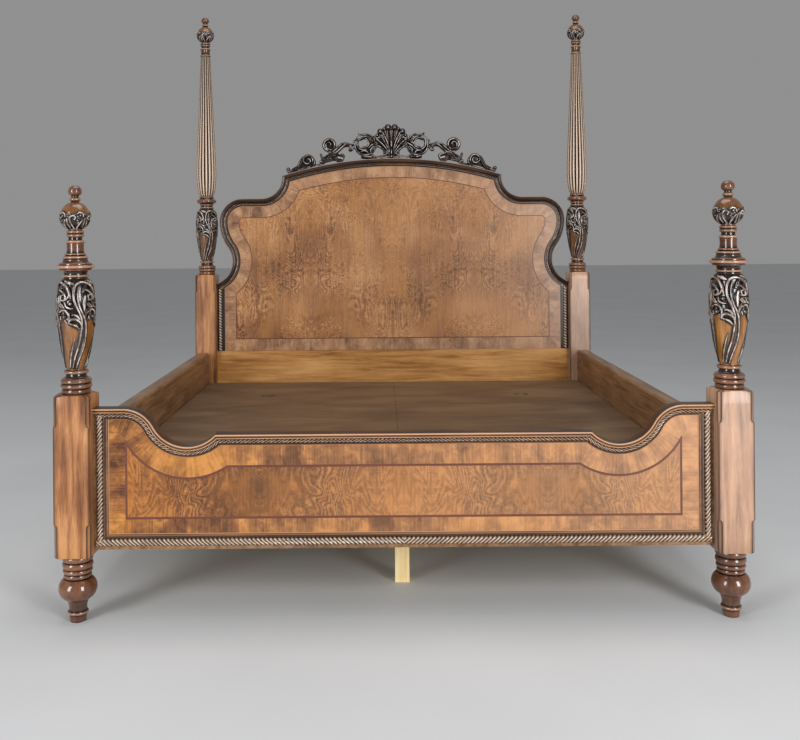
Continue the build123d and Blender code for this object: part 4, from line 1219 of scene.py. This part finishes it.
def mapBand(piece, outer, inner, corners):
    # the band's own map: u along its outer edge and square to it, v across, with a mitre at each corner
    count = len(outer)
    ends = [0, *corners, count]
    outer, inner = (np.concatenate([line, line[:1]]) for line in (outer, inner))
    along = np.empty((count, 2, 2))  # by step along the band, end of the step, outer or inner edge
    start = 0.0
    for first, last in zip(ends, ends[1:]):
        run = outer[first:last + 1]
        places = np.stack([footOn(run, run), footOn(run, inner[first:last + 1])], axis=1) + start
        along[first:last, 0], along[first:last, 1] = places[:-1], places[1:]
        start = places[-1, 0]
    width = np.linalg.norm(inner - outer, axis=1).min()
    data = piece.data
    loops = np.empty(len(data.loops), np.int32)
    data.loops.foreach_get("vertex_index", loops)
    row, column = loops // 4, loops % 4
    step = np.repeat(np.arange(len(data.polygons)) // 4, 4)
    isInner = np.isin(column, (1, 2)).astype(int)
    u = along[step, (row != step).astype(int), isInner]
    uv = data.uv_layers.new(name="band")
    uv.data.foreach_set("uv", np.stack([u * mm, isInner * width * mm], axis=1).astype(np.float32).ravel())


def platePiece(name, outline, front, thickness, material, slot):
    step = np.hypot(*(outline - np.roll(outline, 1, axis=0)).T)
    outline = outline[step > 0.01]
    rings = np.stack([swept([outline], [y], 0)[:, 0] for y in (front, front + thickness)])
    return addPiece(name, (*shell(rings), None), material, smooth=False)


veneer = {
    "thickness": 1.2, "lift": 0.8,  # the sheets stand this much before the ground
    "inlayProud": 0.15,
    # inset from the top edge, reach of the sides and bottom, in millimetres
    "headEdge": (44, 902.5, 554), "headInlay": (103, 842, 618), "headInlayWidth": 4.5,
    "footEdge": (35.5, 896.5, 269), "footInlay": (99, 845, 315), "footInlayWidth": 7,
}
headGroove = {
    # the hollow between the headboard's rope and its crossband, dark with glaze and painted shade, with a
    # painted highlight on the arris of the veneer
    "outer": (34, 912, 554), "inner": (45, 901.5, 554),
    "section": [(0, 2), (0, -1.2), (0.7, -1.2), (0.74, -1.9), (0.96, -1.9), (1, -0.9), (1, 2)],
    "shadeAndHighlight": [0.05, 0.05, 0.05, 0.75, 0.75, 0.4, 0.4],
}
footBead = {
    # the small moulding between the footboard's rope and its crossband, from its outer edge to its inner one
    "outer": (29, 912, 254), "inner": (35.5, 897, 269),
    "section": [(0, 2), (0, -1), (0.34, -1), (0.44, -3), (0.6, -4.2), (0.74, -3.6), (0.82, -2), (0.84, -0.9),
                (0.98, -1.4), (1, 2)],  # share of the way in, and depth before the face
    # painted shade in its hollow and a painted highlight on its beads
    "shadeAndHighlight": [0.15, 0.2, 0.24, 0.45, 0.6, 0.5, 0.3, 0.6, 1.0, 0.8],
}


def makeVeneers():
    v = veneer
    for kind, band, field in (("head", headBand, headVeneer), ("foot", footBand, footVeneer)):
        name = kind + "board_"
        front = boards[kind + "Front"] - v["lift"]
        half = v[kind + "InlayWidth"] / 2
        line = np.array(v[kind + "Inlay"])
        away = np.array([-half, half, -half])
        outer, edge, inner = outlinesOf(kind, [v[kind + "Edge"], line + away, line - away])
        flat = np.array([0, 0, v["thickness"], v["thickness"]])
        piece = sweptPiece(name + "crossband", [outer, edge, edge, outer], flat, front, band, name + "veneer",
                           closed=True)
        mapBand(piece, outer, edge, cornersOf(outer))
        sweptPiece(name + "inlay", [edge, inner, inner, edge], flat - v["inlayProud"], front,
                   wood["inlayRosewood"], name + "veneer", closed=True)
        platePiece(name + "field", inner, front, v["thickness"], field, name + "veneer")
    for name, shape, replaced in (("footboard_bead_moulding", footBead, ["footboard_bead"]),
                                  ("headboard_groove", headGroove, [])):
        outer, inner = np.array(shape["outer"]), np.array(shape["inner"])
        shares, depths = zip(*shape["section"])
        lines = outlinesOf(name[:4], [outer + (inner - outer) * share for share in shares])
        sweptPiece(name, lines, depths, boards[name[:4] + "Front"], wood["mouldingWalnut"], "moulding_walnut",
                   replaced, shape["shadeAndHighlight"], closed=True)


makeVeneers()
print("veneers laid")


# Openwork crest: strokes in the plane of the headboard, measured from the crown of the arch

crest = {
    "back": 24,  # depth behind the panel's face, in millimetres
    "ground": 16,  # thickness of the members before their rounding
    "pointsAcross": 13,
    "spacing": 1.6,
    "fullness": 1.32,  # how much wider the finished strokes are than drawn
    "boldness": 1.45,  # and how much higher
    "grooveWidth": 0.3, "crownPower": 14, "backShare": 0.9, "backWear": 0.1, "leastEnd": 0.04,
    "scrollStep": 18,  # degrees
    # shade and highlight at the sides of a stroke and on its crown: glaze and painted shade below one half,
    # painted highlight above it
    "groundWear": (0.1, 0.3), "strokeWear": (0.03, 1.0), "fluteWear": (0.36, 0.54),
}
# beads: a painted highlight on the top of each dome, painted shade below it
crestBeads = {"around": 28, "rings": 9, "shadeAndHighlight": [0.8, 0.72, 0.5, 0.35, 0.25, 0.2, 0.15, *[0.1] * 4]}


def scroll(centre, start, end, outer, inner):
    # a spiral from one angle to another, in degrees, while its radius goes from outer to inner
    count = max(6, int(abs(end - start) / crest["scrollStep"]))
    angles = np.radians(np.linspace(start, end, count))
    radius = np.linspace(outer, inner, count)
    return [(centre[0] + r * math.cos(a), centre[1] + r * math.sin(a)) for a, r in zip(angles, radius)]


shellFan = {
    "foot": (0, 2), "turn": 10.5, "start": 78,  # degrees between two flutes, and where they begin
    "reach": [158, 160],  # of each flute, from the middle outwards
    "widen": 1.16, "footWidth": 1.6, "middle": 0.55, "height": 9, "lift": 4,
}


def shellFlutes():
    # the flutes of the shell fan out from its foot and widen as they go
    fan = shellFan
    half = math.tan(math.radians(fan["turn"] / 2)) * fan["widen"]
    for k, reach in enumerate(fan["reach"]):
        a = math.radians(fan["turn"] * k)
        line = [(fan["foot"][0] + r * math.sin(a), fan["foot"][1] + r * math.cos(a))
                for r in np.linspace(fan["start"], reach, 4)]
        yield line, (fan["footWidth"], half * reach * fan["middle"], half * reach), fan["height"], fan["lift"]


# broad members first, which carry the finer work
crestGround = [
    ([(0, 10), (0, 60), (0, 110), (0, 150)], (12, 34, 44), 3, -2),
    ([(16, 16), (34, 52), (56, 84), (76, 106)], (12, 18, 20), 3, -3),
    ([(0, 6), (50, 5), (110, 4), (166, 8)], (9, 8, 8), 3, -3),
    (scroll((140, 74), 0, 360, 50, 50), 11, 4, -3),
    ([(108, 38), (110, 74), (112, 108)], (15, 18, 12), 4, -3),
    ([(114, 46), (142, 48), (170, 52)], (14, 13, 12), 4, -4),
    ([(118, 106), (146, 112), (172, 100)], (8, 8, 6), 4, -4),
    ([(80, 60), (92, 92), (100, 118)], (8, 18, 12), 3, -3),
    ([(190, 66), (222, 72), (250, 74), (272, 62), (304, 32)], (9, 12, 12), 4, -2),
    ([(258, 0), (296, 8), (338, 8), (388, -22)], (14, 22, 10), 3, -3),
    ([(334, 74)], 33, 4, -4),
    ([(448, -4)], 28, 4, -4),
    ([(404, -38), (450, -32), (492, -42), (546, -66)], (12, 18, 8), 3, -3),
]
# each stroke: its line, half widths from start to end, height of its round, lift of the whole, groove
crestStrokes = [
    # shell: the curls at the tips of its flutes, and the leaf ribs that spread below them
    ([(18, 166)], 14, 12, 8),
    ([(59, 144)], 13, 12, 8),
    ([(38, 158)], 8, 8, 6),
    ([(0, 160)], 7, 8, 6),
    ([(76, 124)], 8, 8, 6),
    ([(9, 34), (15, 62), (26, 98), (42, 130), (52, 143)], (3, 6, 4), 10, 8),
    ([(11, 30), (20, 56), (38, 92), (54, 116), (66, 128)], (3, 5, 3.5), 10, 7),
    ([(13, 26), (27, 50), (48, 76), (70, 96), (84, 104)], (3, 6, 4), 10, 7),
    ([(17, 22), (35, 42), (58, 60), (84, 74)], (3, 5.5, 3.5), 9, 6),
    ([(0, 58), (0, 78), (0, 98)], (4, 9, 3), 11, 9),
    ([(0, 20), (0, 34), (0, 50)], (4, 6, 3), 9, 7),
    # base: two C scrolls and their beads
    ([(8, 40), (20, 26), (34, 22)], (4, 5, 6), 8, 5),
    ([(0, 10)], 9, 9, 5),
    ([(26, 29)], 7, 9, 5),
    ([(4, 4), (22, 6), (44, 8), (70, 5), (100, 2)], (6, 8, 6), 6, 2, 0.25),
    ([(16, 12), (12, 22), (18, 34), (30, 38), (42, 34)], (3, 5, 3), 7, 3),
    # rim of the oval opening
    (scroll((72, 33), 200, 20, 33, 33), (4, 5, 5), 7, 2, 0.2),
    ([(46, 16), (60, 8), (78, 6), (96, 12), (106, 26)], (4, 5, 4), 6, 2, 0.2),
    # wreath: outer and inner bands round its window, and leaves that fill its inner side
    (scroll((140, 74), 150, -128, 56, 56), (4, 5, 5), 9, 3),
    (scroll((149, 83), 175, -150, 37, 37), (4, 6.5, 4), 8, 2),
    ([(106, 108), (124, 118), (146, 121), (166, 112)], (5, 8, 4), 7, 1),
    (scroll((153, 84), 200, 20, 30, 26), (2, 4, 2), 8, 3),
    ([(96, 124), (90, 108), (98, 96), (110, 100), (110, 112)], (4, 6, 5), 8, 5),
    ([(86, 100), (100, 92), (114, 84), (124, 72)], (3, 7, 2.5), 8, 5),
    ([(84, 84), (98, 76), (112, 68), (122, 56)], (3, 7, 2.5), 8, 5),
    ([(92, 66), (104, 58), (112, 46), (110, 32)], (3, 6.5, 2.5), 8, 5),
    ([(122, 92), (122, 78), (130, 64), (146, 56), (164, 58)], (3, 5, 3), 8, 4),
    ([(147, 58)], 7, 9, 6),
    ([(124, 26), (132, 38), (148, 42), (164, 36)], (3, 6, 3), 8, 4),
    ([(104, 8), (122, 10), (142, 10), (162, 18)], (6, 8, 5), 7, 2),
    ([(168, 126), (174, 134), (175, 139)], (5, 4, 5), 8, 3),
    ([(196, 88), (203, 94), (208, 94)], (5, 6, 5), 8, 3),
    # links, twin band and upper volute
    ([(196, 66), (212, 58), (224, 66), (216, 76)], (5, 7, 5), 8, 3, 0.2),
    ([(204, 56), (220, 46), (232, 50)], (4, 7, 4), 7, 3),
    ([(212, 62), (232, 74), (250, 80), (262, 74)], (5, 8, 6), 8, 3, 0.2),
    ([(250, 84), (258, 88)], 5, 8, 3),
    ([(246, 78), (262, 66), (284, 46), (304, 30)], (5, 7, 6), 8, 4),
    ([(258, 86), (276, 72), (296, 54), (314, 38)], (4, 6, 5), 8, 4),
    ([(292, 30), (308, 32), (324, 42), (330, 36)], (6, 8, 5), 6, 3),
    (scroll((334, 74), -78, 250, 31, 28) + scroll((334, 74), 268, 560, 25, 6), (7, 6, 4), 9, 4),
    ([(318, 26), (328, 34), (346, 36)], (5, 7, 3), 7, 3),
    # leaf mass under the volute
    ([(258, -8), (266, 2), (280, 4), (292, 12)], (6, 10, 8), 8, 3),
    ([(262, -12), (278, -10), (294, -4), (306, 10)], (6, 9, 6), 7, 2, 0.3),
    ([(264, 2), (258, 12), (266, 22), (278, 20)], (4, 6, 4), 7, 3),
    ([(296, 18), (314, 22), (330, 12), (346, -4)], (7, 10, 5), 8, 3, 0.35),
    ([(286, 24), (300, 34), (318, 30)], (4, 6, 3), 7, 4),
    ([(318, -6), (336, -4), (356, -10), (380, -28)], (7, 10, 6), 7, 2, 0.3),
    ([(350, -14), (364, -2), (376, 10), (380, 24)], (7, 7, 3.5), 8, 3, 0.3),
    ([(366, -22), (378, -14), (390, -16)], (5, 6, 3), 7, 3),
    ([(380, 23)], 5, 8, 3),
    # lower volute and the tail that dies on to the arch
    ([(366, -30), (388, -36), (410, -44), (432, -50)], (7, 9, 8), 6, 1, 0.25),
    (scroll((450, -8), 215, -10, 26, 25) + scroll((450, -8), -28, -300, 22, 6), (6, 6, 4.5), 9, 3),
    ([(420, -32), (414, -18), (420, -2), (434, 8)], (4, 5, 4), 7, 2),
    ([(458, 12), (478, 2), (492, -22), (504, -46), (522, -66)], (6, 8, 6), 9, 3, 0.35),
    ([(436, -44), (460, -50), (482, -56), (508, -66)], (7, 10, 7), 6, 1, 0.2),
    ([(490, -64), (514, -72), (538, -76), (556, -66), (558, -56)], (7, 7, 5), 7, 2, 0.2),
    ([(557, -55)], 8, 9, 3),
]


def crestBead(line, widths, height, lift):
    # a bead or disc: a low dome on a short stem
    radius = widths[0]
    tilt = np.linspace(math.pi / 2, 0, crestBeads["rings"] + 1)[1:]
    plan = [(0.5, -lift - height)] + [(radius * math.cos(a), -lift - height * math.sin(a)) for a in tilt]
    plan.append((radius * crest["backShare"], crest["ground"]))
    turn = np.linspace(0, 2 * math.pi, crestBeads["around"], endpoint=False)
    rings = [[(line[0][0] + r * math.cos(a), y, line[0][1] + r * math.sin(a)) for a in turn] for r, y in plan]
    return np.array(rings), np.repeat(crestBeads["shadeAndHighlight"], len(turn))


def crestMember(line, widths, height, lift, groove):
    # a rounded band along a line, thinner at its two ends
    n = crest["pointsAcross"]
    across = np.sin(np.linspace(-math.pi / 2, math.pi / 2, n))
    hollow = groove * np.exp(-((across / crest["grooveWidth"]) ** 2))
    hump = np.sqrt(np.clip(1 - across**2, 0, 1)) * (1 - hollow)
    path = np.asarray(line, float)
    span = np.hypot(*np.diff(path, axis=0).T).sum()
    detail = max(finish["detail"], finish["leastDetail"])
    path = spline(path, max(5, round(span / crest["spacing"] * detail)))
    share = np.linspace(0, 1, len(path))
    half = np.interp(share, [0, 0.5, 1], widths)
    tip = (1 - np.minimum(share, 1 - share) * span / half.mean()).clip(0, 1)
    ends = np.sqrt(np.clip(1 - tip**2, crest["leastEnd"], 1))
    tangent = np.gradient(path, axis=0)
    tangent /= np.hypot(*tangent.T)[:, None]
    aside = np.stack([-tangent[:, 1], tangent[:, 0]], axis=1) * (half * ends)[:, None]
    sides = np.concatenate([across, [crest["backShare"], -crest["backShare"]]])
    rings = np.empty((len(path), n + 2, 3))
    rings[:, :, ::2] = path[:, None] + aside[:, None] * sides[:, None]
    rings[:, :n, 1] = -(lift + height * hump[None] * ends[:, None])
    rings[:, n:, 1] = crest["ground"]
    # painted highlight along the crown of each member
    crown = (1 - groove) * (hump / hump.max()) ** crest["crownPower"]
    return rings, np.tile([*crown, crest["backWear"], crest["backWear"]], len(path))


def makeCrest():
    full, bold = crest["fullness"], crest["boldness"]
    strokes = [(stroke, crest["groundWear"]) for stroke in widthsOf(crestGround, 3)]
    for line, widths, height, lift, groove in widthsOf(crestStrokes, 3):
        wide = [width * full for width in widths]
        strokes.append(((line, wide, height * bold, lift, groove), crest["strokeWear"]))
    strokes += [(flute, crest["fluteWear"]) for flute in widthsOf(shellFlutes(), 3)]
    place = np.array([0, boards["headFront"] + crest["back"] - crest["ground"], headOutline["archTop"]])
    parts = []
    for (line, *shape, groove), (least, most) in strokes:
        rings, shadeAndHighlight = crestBead(line, *shape) if len(line) == 1 else crestMember(line, *shape, groove)
        central = all(abs(x) < 0.1 for x, _ in line)
        for sign in (1,) if central else (1, -1):
            parts.append((*shell((rings + place) * [sign, 1, 1] * mm), least + shadeAndHighlight * (most - least)))
    addPiece("headboard_crest_carving", joined(parts), wood["crestWalnut"],
             ["headboard_crest"])


makeCrest()
print("crest carved")


# Finishes of the pieces that stay as the frame has them

finishes = {
    "side_rail": wood["railWalnut"], "headboard_lower_board": wood["lowerBoardWalnut"],
    "deck_panel": deckPaint, "slat_": pine, "rail_ledger": pine, "bed_bolts": steel, "barrel_nuts": steel,
    "headboard_panel": headVeneer, "footboard_panel": wood["railWalnut"],
}
for name, node in cadNodes.items():
    for beginning, material in finishes.items():
        if name.startswith(beginning):
            node.data.materials.clear()
            node.data.materials.append(material)


# Floor, light and camera

studio = {
    "sky": 0.28, "floorSize": 60, "floorClouds": (1.5, 4), "floorRoughness": 0.75,
    "floorTones": ((206, 208, 210), (220, 222, 224)),
    "lens": 41.94, "sensor": 36, "farthest": 100, "cameraPlace": (-0.0684, -3.945, 1.1725), "roll": -0.45,
    "shiftX": 0.02575, "shiftY": -0.169,
}
lamps = [
    # name, place, aims at, width, height, watts
    ("leftWindow", (-3.4, -4.4, 1.7), (-0.3, 0.0, 1.3), 1.2, 3.2, 130),
    ("rightWindow", (2.7, -4.8, 1.7), (0.3, 0.0, 1.3), 1.2, 3.2, 165),
    ("ceiling", (0.0, -0.6, 5.2), (0.0, 0.0, 0.4), 3.6, 3.0, 85),
]


def makeStudio():
    bpy.ops.mesh.primitive_plane_add(size=studio["floorSize"])
    floor = bpy.context.object
    floor.name = "floor"
    material, place = newMaterial("paleFloor")
    colour = place.noise(*studio["floorClouds"]).mixed(*(tone(pale) for pale in studio["floorTones"]))
    closeMaterial(place, colour, studio["floorRoughness"])
    floor.data.materials.append(material)
    world = bpy.data.worlds.new("studio")
    bpy.context.scene.world = world
    world.use_nodes = True
    world.node_tree.nodes.clear()
    sky = Wire(world.node_tree)
    light = sky.node("ShaderNodeBackground", {"Color": (1, 1, 1, 1), "Strength": studio["sky"]})
    sky.node("ShaderNodeOutputWorld", {"Surface": light})
    for name, place, aim, width, height, watts in lamps:
        data = bpy.data.lights.new(name, "AREA")
        data.shape = "RECTANGLE"
        data.size, data.size_y, data.energy = width, height, watts
        lamp = newObject(name, data)
        lamp.location = place
        lamp.visible_camera = False
        away = np.array(place) - np.array(aim)
        lamp.rotation_euler = (
            math.atan2(math.hypot(away[0], away[1]), away[2]), 0, math.atan2(away[0], -away[1]))
    view = bpy.data.cameras.new("camera")
    view.sensor_width = studio["sensor"]
    view.lens = studio["lens"]
    view.shift_x, view.shift_y = studio["shiftX"], studio["shiftY"]
    view.clip_end = studio["farthest"]
    camera = newObject("camera", view)
    camera.location = studio["cameraPlace"]
    camera.rotation_euler = (math.radians(90), math.radians(-studio["roll"]), 0)
    bpy.context.scene.camera = camera
    bpy.context.scene.view_settings.view_transform = "Standard"


makeStudio()
print("studio set")
